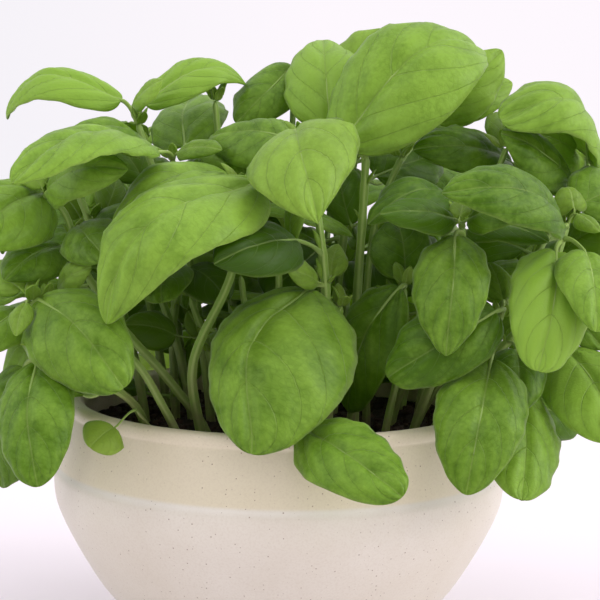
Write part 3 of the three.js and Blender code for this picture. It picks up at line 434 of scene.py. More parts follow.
def paleRoom():
    world = bpy.data.worlds.new("paleRoom")
    world.use_nodes = True
    background = world.node_tree.nodes["Background"]
    wire = Wire(world.node_tree)
    right, back, top = wire.add("ShaderNodeTexCoord", output=0).parts()
    level = stage["frontSky"] + back.within(-stage["backReach"], stage["backReach"]) * (1 - stage["frontSky"])
    strength = level + top.within(*stage["topFade"]) * (stage["topSky"] - level)
    strength = strength + right.within(*stage["rightFade"]) * stage["rightSky"]
    feed(wire, background, Strength=strength, Color=towardsLeft(right).tint(stage["sky"], stage["skyLeft"]))
    return world


def setStage():
    scene = bpy.context.scene
    scene.world = paleRoom()
    scene.view_settings.view_transform = "Standard"
    for name, settings in stage["lights"].items():
        addLight(name, *settings)
    sheet = bmesh.new()
    bmesh.ops.create_circle(sheet, cap_ends=True, segments=64, radius=stage["reach"])
    bmesh.ops.translate(sheet, verts=sheet.verts, vec=(0, 0, -stage["below"] * mm))
    floor = addObject("floor", bpy.data.meshes.new("floor"))
    sheet.to_mesh(floor.data)
    sheet.free()
    floor.data.materials.append(floorMaterial())


setStage()
materials = {
    "blade": bladeMaterial(),
    "stalk": stalkMaterial(),
    "soil": soilMaterial("pottingSoil", soilLook["ground"], soilLook["groundScale"]),
    "crumb": soilMaterial("soilCrumbs", soilLook["crumbs"], soilLook["crumbScale"]),
    "glaze": glazeMaterial(),
    "clay": clayMaterial(),
}
print("floor, light and materials ready")


# How the plant is laid out, by the same rules that the solids were grown by.

def viewRay(pixel):
    half = viewpoint["picture"] / 2
    a, b = pixel[0] - half, pixel[1] - half
    cosine, sine = math.cos(viewpoint["roll"]), math.sin(viewpoint["roll"])
    return (viewForward * viewpoint["focal"] + viewRight * (cosine * a + sine * b)
            - viewUp * (cosine * b - sine * a)).normalized()


def fromView(pixel, depth):  # the point seen there, depth mm behind the middle of the bowl
    ray, eye = viewRay(pixel), viewpoint["eye"]
    return eye + ray * ((depth - eye.y) / ray.y)


def fromViewAt(pixel, origin, distance, nearer):  # the point seen there at that distance from origin
    ray, across = viewRay(pixel), viewpoint["eye"] - origin
    along = -ray.dot(across)
    spare = along * along - across.length_squared + distance * distance
    return viewpoint["eye"] + ray * (along - nearer * math.sqrt(max(spare, 0)))


def randomFrom(seed):  # the same draws as the solids' source makes
    word = 0xFFFFFFFF
    state = [seed & word]

    def draw():
        state[0] = (state[0] + 0x6D2B79F5) & word
        t = ((state[0] ^ (state[0] >> 15)) * (state[0] | 1)) & word
        t = ((t + (((t ^ (t >> 7)) * (t | 61)) & word)) & word) ^ t
        return (t ^ (t >> 14)) / 2 ** 32
    return draw


def direction(azimuth, elevation):
    a, e = math.radians(azimuth), math.radians(elevation)
    return Vector((math.sin(a) * math.cos(e), -math.cos(a) * math.cos(e), math.sin(e)))


def mix(a, b, share):
    return a + (b - a) * share


class Path:  # a smooth curve through points, read by its share of the length
    steps = 200

    def __init__(self, at):
        self.at = at
        points = [at(i / self.steps) for i in range(self.steps + 1)]
        self.lengths = [0]
        for a, b in zip(points, points[1:]):
            self.lengths.append(self.lengths[-1] + (b - a).length)

    def when(self, share):
        aim, low, high = share * self.lengths[-1], 0, self.steps
        while high - low > 1:
            middle = (low + high) // 2
            low, high = (middle, high) if self.lengths[middle] <= aim else (low, middle)
        spare = self.lengths[low + 1] - self.lengths[low]
        return (low + (aim - self.lengths[low]) / spare) / self.steps

    def point(self, share):
        return self.at(self.when(share))

    def tangent(self, share):
        t = self.when(share)
        return (self.at(min(t + 1e-3, 1)) - self.at(max(t - 1e-3, 0))).normalized()


def through(points):  # the centripetal curve that the solids' stems follow
    def at(t):
        place = min(t, 1) * (len(points) - 1)
        i = min(int(place), len(points) - 2)
        w = place - i
        b, c = points[i], points[i + 1]
        a = points[i - 1] if i else b * 2 - c
        d = points[i + 2] if i + 2 < len(points) else c * 2 - b
        ab, bc, cd = [(q - p).length ** 0.5 for p, q in ((a, b), (b, c), (c, d))]
        leave = ((b - a) / ab - (c - a) / (ab + bc) + (c - b) / bc) * bc
        arrive = ((c - b) / bc - (d - b) / (bc + cd) + (d - c) / cd) * bc
        return (b + leave * w + ((c - b) * 3 - leave * 2 - arrive) * w ** 2
                + ((b - c) * 2 + leave + arrive) * w ** 3)
    return Path(at)


def bend(a, b, c, d):
    return Path(lambda t: a * (1 - t) ** 3 + b * 3 * t * (1 - t) ** 2 + c * 3 * t * t * (1 - t) + d * t ** 3)


# The leafy stems that the picture shows: each one's root in mm, its girth, its route as two pixels and the
# mm behind the middle, and its leaves. A leaf: its share along the stem, the pixels of its base and its tip,
# the base's depth, its length and width in mm, 1 if its tip is nearer than its base, the azimuth and height
# that its upper side faces, and its arch and cup as shares of its length and width.
# A leaf's tone is partly its own colour and partly painted light and shade: high for leaves in the light, low
# and below 0 for leaves in the shade inside the bush.
def blade(at, base, tip, depth, long, wide, nearer, face, arch, cup, **more):
    return dict(at=at, base=base, tip=tip, depth=depth, long=long, wide=wide, nearer=nearer, face=face,
                arch=arch, cup=cup, **more)


shownStems = {
    "leafy_stem_upper_left": ((-46, 2), 4.4, [(173, 326, 4), (179, 262, 4), (138, 123, 4)], [
        blade(1, (121, 100), (7, 119), 2, 56, 28, -1, (10, 60), 0.31, 0.35, peak=0.56, tone=1.2),
        blade(1, (144, 103), (246, 84), 8, 48, 25, -1, (-5, 56), 0.27, 0.3, peak=0.57, tone=1.12),
        blade(1, (133, 105), (163, 80), -4, 18, 18, 1, (0, 60), 0.1, 0.3, tone=0.85),
        blade(0.93, (150, 147), (68, 135), 6, 44, 24, 1, (-10, 55), 0.16, 0.3, tone=0.45),
        blade(0.5, (190, 268), (213, 308), -4, 26, 22, 1, (10, 20), 0.1, 0.2, full=0.8, tone=-0.6),
        blade(0.46, (164, 286), (128, 330), 22, 32, 24, 1, (-20, 40), 0.1, 0.2, full=0.8, tone=-0.3),
    ]),
    "leafy_stem_round_leaf": ((-30, -8), 4.6, [(196, 300, -12), (172, 158, -12)], [
        blade(1, (185, 146), (196, 98), -8, 52, 36, -1, (-18, 34), 0.13, 0.33, tone=0.5),
        blade(1, (150, 149), (12, 183), -12, 73, 40, 1, (-35, 42), 0.18, 0.24, full=0.9, tone=0.8),
        blade(0.97, (178, 152), (222, 150), -18, 24, 14, 1, (10, 45), 0.12, 0.3, tone=0.5),
        blade(0.55, (168, 266), (152, 314), -24, 28, 24, 1, (-20, 25), 0.1, 0.2, full=0.7, tone=0.05),
        blade(0.76, (160, 208), (92, 250), -6, 46, 32, 1, (-20, 30), 0.12, 0.25, full=0.8, tone=0.15),
    ]),
    "leafy_stem_left": ((-30, -38), 4.6,
     [(172, 384, -42), (118, 322, -38), (84, 268, -34), (64, 212, -32), (47, 196, -32)], [
        blade(1, (47, 192), (128, 169), -34, 42, 27, 1, (-5, 42), 0.18, 0.3, tone=0.72),
        blade(1, (44, 192), (-30, 240), -34, 56, 37, 1, (12, 28), 0.08, 0.33, tone=0.78),
        blade(1, (42, 188), (22, 160), -26, 20, 12, -1, (0, 40), 0.1, 0.3),
        blade(0.86, (62, 246), (4, 280), -30, 36, 26, 1, (-10, 30), 0.12, 0.3, tone=0.3),
        blade(0.8, (92, 252), (110, 206), -22, 26, 20, -1, (0, 30), 0.1, 0.25, tone=0.35),
        blade(0.83, (78, 226), (106, 260), -16, 32, 26, 1, (-5, 30), 0.1, 0.25, full=0.8, tone=0.35),
    ]),
    "leafy_stem_low_left": ((-40, -62), 4.2,
     [(159, 399, -64), (134, 361, -62), (76, 322, -58), (30, 302, -60)], [
        blade(0.98, (40, 300), (124, 388), -66, 58, 39, 1, (-8, 32), 0.14, 0.31, full=0.76, tone=0.52),
        blade(1, (26, 303), (16, 336), -66, 17, 10, 1, (-10, 20), 0.1, 0.3, tone=0.6),
        blade(1, (28, 298), (48, 262), -62, 18, 11, 1, (0, 30), 0.12, 0.3, tone=0.6),
        blade(0.9, (26, 312), (-30, 358), -56, 42, 30, 1, (-15, 30), 0.16, 0.3, tone=0.6),
        blade(0.94, (22, 290), (-6, 262), -42, 22, 18, -1, (-10, 30), 0.1, 0.25),
        blade(0.86, (58, 290), (84, 266), -50, 22, 14, 1, (0, 30), 0.16, 0.3, tone=0.55),
    ]),
    "leafy_stem_over_rim_left": ((-54, -50), 4.6,
     [(137, 408, -56), (118, 391, -62), (78, 369, -70), (40, 357, -74)], [
        blade(1, (37, 363), (38, 487), -78, 55, 32, 1, (-14, 34), 0.13, 0.33, full=0.85, tone=0.36),
        blade(0.97, (24, 368), (2, 488), -62, 56, 32, -1, (-20, 20), 0.14, 0.3, tone=0.3),
    ]),
    "seedling_front_left": ((-47, -62), 2, [(136, 410, -67)], [
        blade(1, (114, 428), (90, 448), -76, 14, 19, 1, (-5, 30), 0.08, 0.15, full=0.7, tone=0.7, young=0.75),
    ]),
    "leafy_stem_centre_left": ((-32, -52), 5, [(193, 365, -60), (231, 275, -54), (246, 188, -48)], [
        blade(1, (256, 182), (106, 324), -52, 86, 49, 1, (-14, 50), 0.29, 0.28, peak=0.6, tone=0.85),
        blade(0.94, (236, 180), (94, 228), -34, 68, 37, 1, (-15, 66), 0.24, 0.25, tone=0.8),
        blade(0.9, (250, 188), (214, 134), -26, 38, 30, -1, (-5, 40), 0.12, 0.3, tone=0.55),
    ]),
    "leafy_stem_tall_centre": ((32, -14), 5.4, [(357, 300, -14), (363, 210, -14), (366, 156, -16)], [
        blade(1, (341, 142), (483, 54), -26, 83, 54, -1, (-5, 42), 0.29, 0.24,
              peak=0.58, tone=0.88, skew=-0.1),
        blade(0.99, (330, 128), (323, 40), -4, 55, 38, -1, (-7, 42), 0.16, 0.3, tone=1.05),
        blade(0.9, (376, 176), (440, 158), -4, 46, 30, -1, (20, 40), 0.1, 0.2, tone=0.1),
        blade(0.8, (351, 224), (340, 162), -6, 32, 20, -1, (-20, 20), 0.1, 0.2, tone=0.05),
    ]),
    "leafy_stem_behind_centre": ((24, 22), 4.6, [(345, 300, 26), (318, 140, 26)], [
        blade(1, (292, 66), (231, 120), 22, 38, 29, 1, (-7, 49), 0.08, 0.4, tone=0.38),
        blade(1, (344, 70), (388, 30), 30, 30, 22, -1, (0, 40), 0.1, 0.2, tone=0.7, young=0.3),
        blade(0.56, (322, 246), (268, 296), 22, 42, 32, 1, (-10, 28), 0.1, 0.25, full=0.8, tone=-0.2),
        blade(0.5, (352, 262), (400, 304), 32, 40, 32, 1, (10, 28), 0.1, 0.25, full=0.8, tone=-0.1),
    ]),
    "leafy_stem_second_centre": ((38, -4), 4.2, [(367, 287, -4), (378, 214, -2), (402, 156, 2)], [
        blade(1, (436, 122), (502, 50), 20, 44, 28, -1, (10, 30), 0.14, 0.2, tone=0.95, young=0.2),
        blade(0.96, (450, 114), (512, 82), 26, 34, 20, -1, (12, 34), 0.12, 0.2, tone=0.85, young=0.2),
        blade(0.75, (390, 240), (430, 268), 8, 36, 28, 1, (10, 28), 0.12, 0.25, tone=0.0),
    ]),
    "leafy_stem_front_centre": ((20, -54), 4.8,
     [(327, 330, -54), (325, 277, -52), (319, 224, -46), (304, 138, -38)], [
        blade(1, (294, 131), (318, 224), -40, 60, 49, 1, (0, 46), 0.2, 0.24,
              peak=0.45, full=1.5, tone=0.82, young=0.2, slant=0.4),
        blade(1, (286, 136), (212, 136), -28, 38, 30, -1, (3, 44), 0.05, 0.45, tone=0.5),
        blade(1, (312, 130), (345, 122), -34, 18, 11, 1, (5, 50), 0.1, 0.3),
        blade(0.6, (306, 291), (251, 454), -60, 80, 58, 1, (0, 38), 0.12, 0.33,
              full=0.86, tone=0.55, skew=0.45),
        blade(0.61, (331, 276), (338, 244), -52, 16, 12, -1, (0, 20), 0.08, 0.2),
        blade(0.6, (318, 282), (286, 268), -58, 18, 12, 1, (-10, 30), 0.1, 0.2),
        blade(0.27, (304, 430), (402, 497), -90, 57, 33, 1, (2, 34), 0.1, 0.3, full=0.78, tone=0.5),
        blade(0.68, (296, 240), (214, 264), -40, 46, 30, 1, (-5, 30), 0.14, 0.3, tone=-0.75),
    ]),
    "leafy_stem_dark_centre": ((44, -40), 4, [(404, 340, -40), (404, 286, -40)], [
        blade(1, (400, 288), (348, 412), -46, 62, 34, -1, (-15, 50), 0.17, 0.3, peak=0.44, tone=0.22),
        blade(1, (406, 278), (396, 216), -34, 34, 28, -1, (0, 16), 0.1, 0.2, tone=0.15),
    ]),
    "leafy_stem_rosette": ((56, -34), 4.6, [(462, 300, -46), (462, 226, -50)], [
        blade(1, (454, 219), (380, 214), -60, 35, 20, 1, (-6, 44), 0.1, 0.33, tone=0.0),
        blade(1, (456, 212), (368, 224), -44, 50, 28, 1, (-14, 52), 0.28, 0.3, tone=0.05),
        blade(0.97, (455, 236), (446, 356), -62, 54, 31, 1, (-8, 40), 0.15, 0.3, tone=0.42),
        blade(1, (468, 219), (535, 205), -58, 32, 20, 1, (2, 41), 0.1, 0.35, tone=0.05),
        blade(0.99, (470, 230), (549, 242), -50, 40, 22, 1, (4, 60), 0.12, 0.3, tone=0.0),
        blade(1, (460, 216), (462, 200), -52, 13, 9, -1, (0, 30), 0.1, 0.3),
    ]),
    "leafy_stem_right": ((66, -20), 4.8, [(540, 300, -40), (567, 224, -42)], [
        blade(0.99, (560, 227), (442, 193), -48, 62, 34, 1, (-2, 46), 0.22, 0.3, peak=0.46, tone=0.2),
        blade(0.94, (556, 252), (538, 371), -58, 58, 34, 1, (10, 33), 0.15, 0.3, full=0.66, tone=1.25),
        blade(0.95, (585, 252), (596, 332), -44, 46, 30, 1, (14, 30), 0.14, 0.3, tone=0.78),
        blade(1, (574, 208), (562, 190), -50, 14, 15, -1, (0, 40), 0.3, 1.1),
        blade(1, (578, 206), (632, 186), -42, 38, 30, -1, (20, 42), 0.18, 0.3, tone=0.4),
        blade(1, (578, 214), (600, 232), -50, 16, 10, 1, (15, 40), 0.12, 0.8),
        blade(0.86, (524, 250), (472, 238), -22, 38, 27, -1, (0, 34), 0.12, 0.25, tone=0.0),
        blade(0.68, (564, 306), (604, 350), -22, 34, 26, 1, (10, 30), 0.1, 0.25, tone=0.4),
        blade(0.58, (516, 350), (516, 414), -52, 36, 25, 1, (0, 28), 0.12, 0.25, tone=0.2),
    ]),
    "leafy_stem_upper_right": ((60, 0), 4.8, [(520, 280, -8), (574, 186, -12)], [
        blade(1, (570, 180), (501, 133), -16, 42, 30, 1, (4, 42), 0.1, 0.36, tone=0.3),
        blade(1, (589, 158), (501, 120), -6, 58, 40, 1, (2, 50), 0.36, 0.3, peak=0.55, tone=0.85, full=0.62),
        blade(0.97, (592, 176), (520, 128), 10, 44, 32, 1, (4, 34), 0.2, 0.25, tone=0.7, young=0.2),
        blade(0.96, (512, 163), (413, 150), -6, 50, 29, 1, (0, 41), 0.17, 0.31, tone=0.22),
        blade(0.98, (592, 172), (640, 150), -2, 40, 28, -1, (20, 50), 0.2, 0.3, tone=0.5),
    ]),
    "leafy_stem_low_right": ((62, -48), 4.4, [(472, 374, -48), (500, 318, -56)], [
        blade(0.9, (491, 360), (466, 495), -72, 61, 37, 1, (-3, 40), 0.15, 0.3,
              peak=0.53, full=0.88, tone=0.45),
        blade(1, (495, 312), (388, 378), -60, 51, 33, 1, (0, 36), 0.12, 0.32, full=0.75, tone=0.12),
        blade(0.8, (518, 385), (522, 500), -62, 58, 36, 1, (14, 35), 0.06, 0.35, full=0.82, tone=0.7),
        blade(1, (510, 308), (546, 386), -36, 38, 24, 1, (10, 30), 0.12, 0.25, tone=0.4),
        blade(1, (503, 300), (489, 262), -54, 20, 13, -1, (0, 24), 0.1, 0.25),
    ]),
    "leafy_stem_edge_right": ((73, -11), 4.2, [(476, 391, -17), (530, 374, -28), (568, 344, -40)], [
        blade(1, (566, 350), (618, 442), -48, 54, 37, 1, (-4, 40), 0.09, 0.34, full=0.86, tone=0.95),
        blade(0.95, (582, 326), (644, 346), -34, 50, 32, 1, (25, 34), 0.16, 0.25, tone=0.5),
    ]),
}

# The stems that it hides, and the rule for leaves that grow in opposite pairs.
soilTop, rootDepth = 100, 26
hiddenRings = {
    "leafy_stem_back": {"count": 8, "azimuth": (-12, 192), "radius": (50, 66), "height": (104, 132)},
    "leafy_stem_middle": {"count": 3, "azimuth": (15, 165), "radius": (16, 30), "height": (138, 152)},
    "leafy_stem_short": {"count": 7, "azimuth": (185, 355), "radius": (22, 52), "height": (48, 84)},
}
hiddenRule = {"splay": 0.6, "bow": (0.35, 0.5), "stray": 0.15, "girth": (4, 4.8), "seed": 58}
pairRule = {                # lists from the lowest pair to the one at the tip
    "share": [0.42, 0.62, 0.82, 0.985],
    "long": [66, 68, 54, 26], "longStray": (0.86, 1.1),
    "slender": 0.6, "slenderStray": (0.9, 1.1),
    "elevation": [-24, -12, 6, 34], "elevationStray": 10,
    "azimuthStray": 14,
    "stalk": 0.24,
    "droop": 0.14,
    "arch": 0.19, "archStray": (0.6, 1.5),
    "faceOut": (0.2, 0.6),
}
leafDefaults = {"arch": 0.15, "cup": 0.28, "peak": 0.5, "full": 1, "wave": 0.03, "slant": 0}
triesRule = {
    "sight": [0, -3, 3, -6, 6, -9, 9, -13, 13, -18, 18, -24, 24],
    "ways": 8,
    "swing": [7, 14, 22, 32, 44],
    "scales": [1, 0.86, 0.72],
    "shownSwing": [5, 10, 16],
    "shownScales": [1, 0.92],
    "halfThick": 0.4,       # mm: the solid's tip lies this far above and below the blade's
    "match": 0.15,          # mm
}
drawn = randomFrom(hiddenRule["seed"])


def between(low, high):
    return mix(low, high, drawn())


def makeStem(name, girth, points):
    root = Vector((points[0].x, points[0].y, soilTop - rootDepth))
    return {"name": name, "radius": girth / 2, "curve": through([root] + points), "leaves": []}


def isSeedling(stem):
    return stem["name"].startswith("seedling")


def shownStem(name, root, girth, route):
    foot = Vector((*root, soilTop))
    return makeStem(name, girth, [foot] + [fromView(point[:2], point[2]) for point in route])


def hiddenStems(name, ring):
    stems = []
    low, high = ring["azimuth"]
    stray = hiddenRule["stray"]
    for i in range(ring["count"]):
        azimuth = math.radians(low + (high - low) / (ring["count"] - 1) * (i + between(-stray, stray)))
        outward = Vector((math.cos(azimuth), math.sin(azimuth), 0))
        radius, height = between(*ring["radius"]), between(*ring["height"])
        foot = outward * radius + skyward * soilTop
        lean, rise = radius * hiddenRule["splay"], skyward * height
        out, up = hiddenRule["bow"]
        points = [foot, foot + outward * (out * lean) + rise * up, foot + outward * lean + rise]
        stems.append(makeStem(f"{name}_{i + 1}", between(*hiddenRule["girth"]), points))
    return stems


def finishLeaf(leaf):
    return {**leafDefaults, "phase": 6.3 * drawn(), **leaf}


def pictureLeaf(spec):
    base = fromView(spec["base"], spec["depth"])
    tip = fromViewAt(spec["tip"], base, spec["long"], spec["nearer"])
    return finishLeaf({**spec, "base": base, "tip": tip, "face": direction(*spec["face"])})


def alongSight(leaf, shift):
    def move(point):
        return point + (point - viewpoint["eye"]).normalized() * shift
    return {**leaf, "base": move(leaf["base"]), "tip": move(leaf["tip"])}


def swung(leaf, turn, way, scale):
    along = leaf["tip"] - leaf["base"]
    side = along.cross(leaf["face"]).normalized()
    rise = side.cross(along).normalized()
    angle = 2 * math.pi * way / triesRule["ways"]
    spin = Quaternion(side * math.cos(angle) + rise * math.sin(angle), math.radians(turn))
    return {**leaf, "tip": leaf["base"] + spin @ (along * scale), "face": spin @ leaf["face"],
            "wide": leaf["wide"] * scale}


def swings(leaf, turns, scales):
    for scale in scales:
        yield swung(leaf, 0, 0, scale)
        for turn in turns:
            for way in range(triesRule["ways"]):
                yield swung(leaf, turn, way, scale)


def pictureTries(leaf):
    for shift in triesRule["sight"]:
        yield alongSight(leaf, shift)
    for shift in triesRule["sight"]:
        yield from swings(alongSight(leaf, shift), triesRule["shownSwing"], triesRule["shownScales"])


def ruledLeaf(stem, pair, azimuth):
    rule, at = pairRule, pairRule["share"][pair]
    long = rule["long"][pair] * between(*rule["longStray"])
    start, stray = stem["curve"].point(at), rule["elevationStray"]
    axis = direction(azimuth, rule["elevation"][pair] + between(-stray, stray))
    base = start + axis * (long * rule["stalk"] + stem["radius"])
    tip = base + axis * long - skyward * (rule["droop"] * long)
    face = direction(azimuth, 0) * between(*rule["faceOut"]) + skyward
    wide = long * rule["slender"] * between(*rule["slenderStray"])
    arch = rule["arch"] * between(*rule["archStray"])
    return finishLeaf({"at": at, "base": base, "tip": tip, "wide": wide, "face": face, "arch": arch})


# One blade: its outline and its middle surface.

bladeShape = {
    "rise": 0.5, "fall": 0.72,          # how the outline leaves the base and meets the tip
    "veins": 4.1,                       # side veins along a blade, on each side
    "forward": (0.30, 0.30),            # how they lean, then curve, towards the tip
    "quilt": 0.019,                     # height of the swelling between veins, for the blade's length
    "quiltPower": 0.65,                 # less than 1: the veins are narrow furrows
    "quiltFrom": 0.05,                  # beside the midrib, for the length
    "furrow": 0.013,                    # depth of the midrib's furrow, for the length
    "furrowWidth": 0.02,
    "shoulder": 0.12,                   # how far each half rises beside the midrib, for the half width
    "uneven": 1.1, "unevenSize": 13,    # mm
    "frill": 0.6,                       # mm, at the margin
    "frillTurn": 0.55,                  # radians for each mm
    "calm": 8,                          # mm: a blade whose half width is less has less of both
    "thick": 0.45,                      # mm
}
widest = bladeShape["rise"] / (bladeShape["rise"] + bladeShape["fall"])


def outline(t):
    if t <= 0 or t >= 1:
        return 0
    return (t / widest) ** bladeShape["rise"] * ((1 - t) / (1 - widest)) ** bladeShape["fall"]


def bladePoint(leaf, shape, t, u):
    along, normal, side, long = shape
    half = 0.5 * leaf["wide"] * outline(t) ** leaf["full"]
    a = t ** (math.log(0.5) / math.log(leaf["peak"]))
    rise = leaf["arch"] * long * 4 * a * (1 - a)
    wave = leaf["wave"] * leaf["wide"] * math.sin(leaf["phase"] + 9 * t + 1.7 * u) * u * u
    lift = rise - leaf["cup"] * half * u * u + wave * outline(t)
    return leaf["base"] + along * (long * t) + normal * lift + side * (half * u)


def bladeFrame(leaf):
    along = leaf["tip"] - leaf["base"]
    long = along.length
    along.normalize()
    normal = (leaf["face"] - along * leaf["face"].dot(along)).normalized()
    return along, normal, along.cross(normal), long


def solidTips(name):  # the solid's corners, to tell where a leaf was put
    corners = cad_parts[name].data.vertices
    tree = KDTree(len(corners))
    for i, corner in enumerate(corners):
        tree.insert(corner.co / mm, i)
    tree.balance()
    return tree


# A leaf that would have touched another was put aside, or left out. The solid says which.
def settle(stem, tries):
    for leaf in tries:
        normal = bladeFrame(leaf)[1] * triesRule["halfThick"]
        if all(stem["tips"].find(leaf["tip"] + way * normal)[2] < triesRule["match"] for way in (1, -1)):
            stem["leaves"].append(leaf)
            return


def growByRule(stem, pairs):
    first, stray = 360 * drawn(), pairRule["azimuthStray"]
    for pair in pairs:
        for way in (0, 180):
            azimuth = first + 90 * pair + way + between(-stray, stray)
            settle(stem, swings(ruledLeaf(stem, pair, azimuth), triesRule["swing"], triesRule["scales"]))


def layOutPlant():
    front = [shownStem(name, *spec[:3]) for name, spec in shownStems.items()]
    rest = [stem for name, ring in hiddenRings.items() for stem in hiddenStems(name, ring)]
    for stem in front + rest:
        stem["tips"] = solidTips(stem["name"])
    for stem, (*_, leaves) in zip(front, shownStems.values()):
        for leaf in leaves:
            settle(stem, pictureTries(pictureLeaf(leaf)))
        if len(stem["leaves"]) < len(leaves):
            print("not every leaf of", stem["name"], "was found in its solid")
    for stems, pairs in ((rest, [3, 2, 1, 0]), (front, [2, 1, 0]), (rest, [1, 0])):
        for stem in stems:
            growByRule(stem, pairs)
    return front + rest


# Older leaves inside the bush, which fill it and are seen between the others; those with a tone below 0 get
# painted shade. A cell that a blade or a stem
# passes is taken: no other blade enters it, and those placed last keep out of the cells beside it too.
innerRule = {
    "tries": 1400, "wanted": 100,
    "cell": 2.8,                    # mm
    "cellStep": (2.5, 5),           # mm between the places of a blade that are looked up, along and across
    "bearersFrom": (0.4, -30),      # a stem bears some if this share of it is this far back, in mm
    "at": (0.16, 0.66),
    "long": (26, 46),
    "slender": (0.56, 0.7),
    "elevation": (-35, 25),
    "stalk": (0.2, 0.45),           # for the blade's length
    "droop": 0.12,
    "faceOut": (0.1, 0.9),
    "arch": (0.06, 0.22),
    "full": (0.8, 1),
    "height": (107, 205),           # mm, lowest and highest
    "front": -8,                    # mm: none stands nearer to the viewer than this
    # tones below 0 paint these leaves darker: painted shade inside the bush
    "tone": (-0.25, 0.45),
    "seed": 5,
}
# Places in the picture where leaves close the view through the bush.
gapRule = {
    "pixels": [(125, 182), (75, 215), (70, 205), (112, 194), (125, 158), (204, 256), (185, 313), (195, 325),
             (220, 320), (150, 330), (165, 345), (187, 362), (246, 281), (277, 220), (266, 190), (236, 287),
             (353, 230), (367, 232), (345, 252), (350, 285), (412, 317), (446, 236), (520, 255), (531, 248),
             (551, 244), (569, 246), (587, 239), (553, 415), (94, 275)],
    "tries": 260,
    "height": (107, 238),           # mm
    "depth": (-30, 80),             # mm behind the middle
    "at": [share / 100 for share in range(20, 77, 7)],
    "nearest": 8,                   # how many of the nearest places on stems may bear it
    "reach": (8, 60),               # mm from the stem to the blade's middle
    "long": (0.7, 1.35),            # for that reach
    "slender": (0.62, 0.8),
    "face": ((-0.4, 0.4), (0.2, 0.9)),      # how far it looks sideways and up, for 1 towards the viewer
    "shape": {"arch": 0.1, "cup": 0.25, "full": 0.85},
}


def cellOf(point):
    return tuple(math.floor(part / innerRule["cell"]) for part in point)


def bladeCells(leaf):
    shape, (along, across) = bladeFrame(leaf), innerRule["cellStep"]
    steps, ways = max(5, round(shape[3] / along)), max(3, round(leaf["wide"] / across))
    return {cellOf(bladePoint(leaf, shape, i / steps, j / ways))
            for i in range(steps + 1) for j in range(-ways, ways + 1)}


def crowded(cells, taken):
    near = (-1, 0, 1)
    return any((x + a, y + b, z + c) in taken for x, y, z in cells for a in near for b in near for c in near)


def innerLeaf(stem, draw):
    rule = innerRule
    at, long = draw.uniform(*rule["at"]), draw.uniform(*rule["long"])
    azimuth = draw.uniform(0, 360)
    axis = direction(azimuth, draw.uniform(*rule["elevation"]))
    base = stem["curve"].point(at) + axis * (long * draw.uniform(*rule["stalk"]) + stem["radius"])
    face = direction(azimuth, 0) * draw.uniform(*rule["faceOut"]) + skyward
    leaf = {**leafDefaults, "at": at, "base": base, "face": face,
            "tip": base + axis * long - skyward * (rule["droop"] * long),
            "wide": long * draw.uniform(*rule["slender"]), "arch": draw.uniform(*rule["arch"]),
            "full": draw.uniform(*rule["full"]), "phase": draw.uniform(0, 6),
            "tone": draw.uniform(*rule["tone"])}
    shape, (low, high) = bladeFrame(leaf), rule["height"]
    places = [bladePoint(leaf, shape, t, v) for t in (0, 0.3, 0.6, 1) for v in (-1, 0, 1)]
    clear = all(low < place.z < high and place.y > rule["front"] for place in places)
    return leaf if clear else None


# One that closes a gap: its middle lies on the line of sight through a pixel, and a stem near it bears it.
def gapLeaf(stems, pixel, draw):
    rule = gapRule
    middle = fromView(pixel, draw.uniform(*rule["depth"]))
    if not rule["height"][0] < middle.z < rule["height"][1]:
        return None, None
    places = [((stem["curve"].point(at) - middle).length, i, at) for i, stem in enumerate(stems)
              for at in rule["at"]]
    away, i, at = draw.choice(sorted(places)[:rule["nearest"]])
    if not rule["reach"][0] < away < rule["reach"][1]:
        return None, None
    axis = (middle - stems[i]["curve"].point(at)).normalized()
    long = min(draw.uniform(*rule["long"]) * away, innerRule["long"][1])
    base = middle - axis * (0.5 * long)
    sideways, upwards = rule["face"]
    face = Vector((draw.uniform(*sideways), -1, draw.uniform(*upwards)))
    return stems[i], {**leafDefaults, **rule["shape"], "at": at, "base": base, "tip": base + axis * long,
                      "face": face, "wide": long * draw.uniform(*rule["slender"]),
                      "phase": draw.uniform(0, 6), "tone": draw.uniform(*innerRule["tone"])}


def fillInside(stems):
    draw = Random(innerRule["seed"])
    taken = {cellOf(stem["curve"].point(i / 60)) for stem in stems for i in range(61)}
    for stem in stems:
        for leaf in stem["leaves"]:
            taken |= bladeCells(leaf)
    placed = []

    def place(stem, leaf):
        taken.update(bladeCells(leaf))
        stem["leaves"].append(leaf)
        placed.append(leaf)
    at, back = innerRule["bearersFrom"]
    bearers = [stem for stem in stems if stem["curve"].point(at).y > back and not isSeedling(stem)]
    for pixel in gapRule["pixels"]:
        for _ in range(gapRule["tries"]):
            stem, leaf = gapLeaf(bearers, pixel, draw)
            if leaf and not bladeCells(leaf) & taken:
                place(stem, leaf)
                break
        else:
            print("no room for a leaf that closes the gap at", pixel)
    for _ in range(innerRule["tries"]):
        stem = draw.choice(bearers)
        leaf = innerLeaf(stem, draw)
        if leaf and len(placed) < innerRule["wanted"] and not crowded(bladeCells(leaf), taken):
            place(stem, leaf)
    return len(placed)


plant = layOutPlant()
print("layout found:", sum(len(stem["leaves"]) for stem in plant), "leaves on", len(plant), "stems")
print("leaves added inside the bush:", fillInside(plant))


def midribAt(leaf, t):  # how far off the middle the midrib runs, as a share of the half width
    return leaf["skew"] * 4 * t * (1 - t)


def veinPhase(leaf, t, v):  # a whole number on each side vein
    lean, curve = bladeShape["forward"]
    return bladeShape["veins"] * (t - lean * abs(v) - curve * abs(v) ** 3) + leaf["phase"] / 9


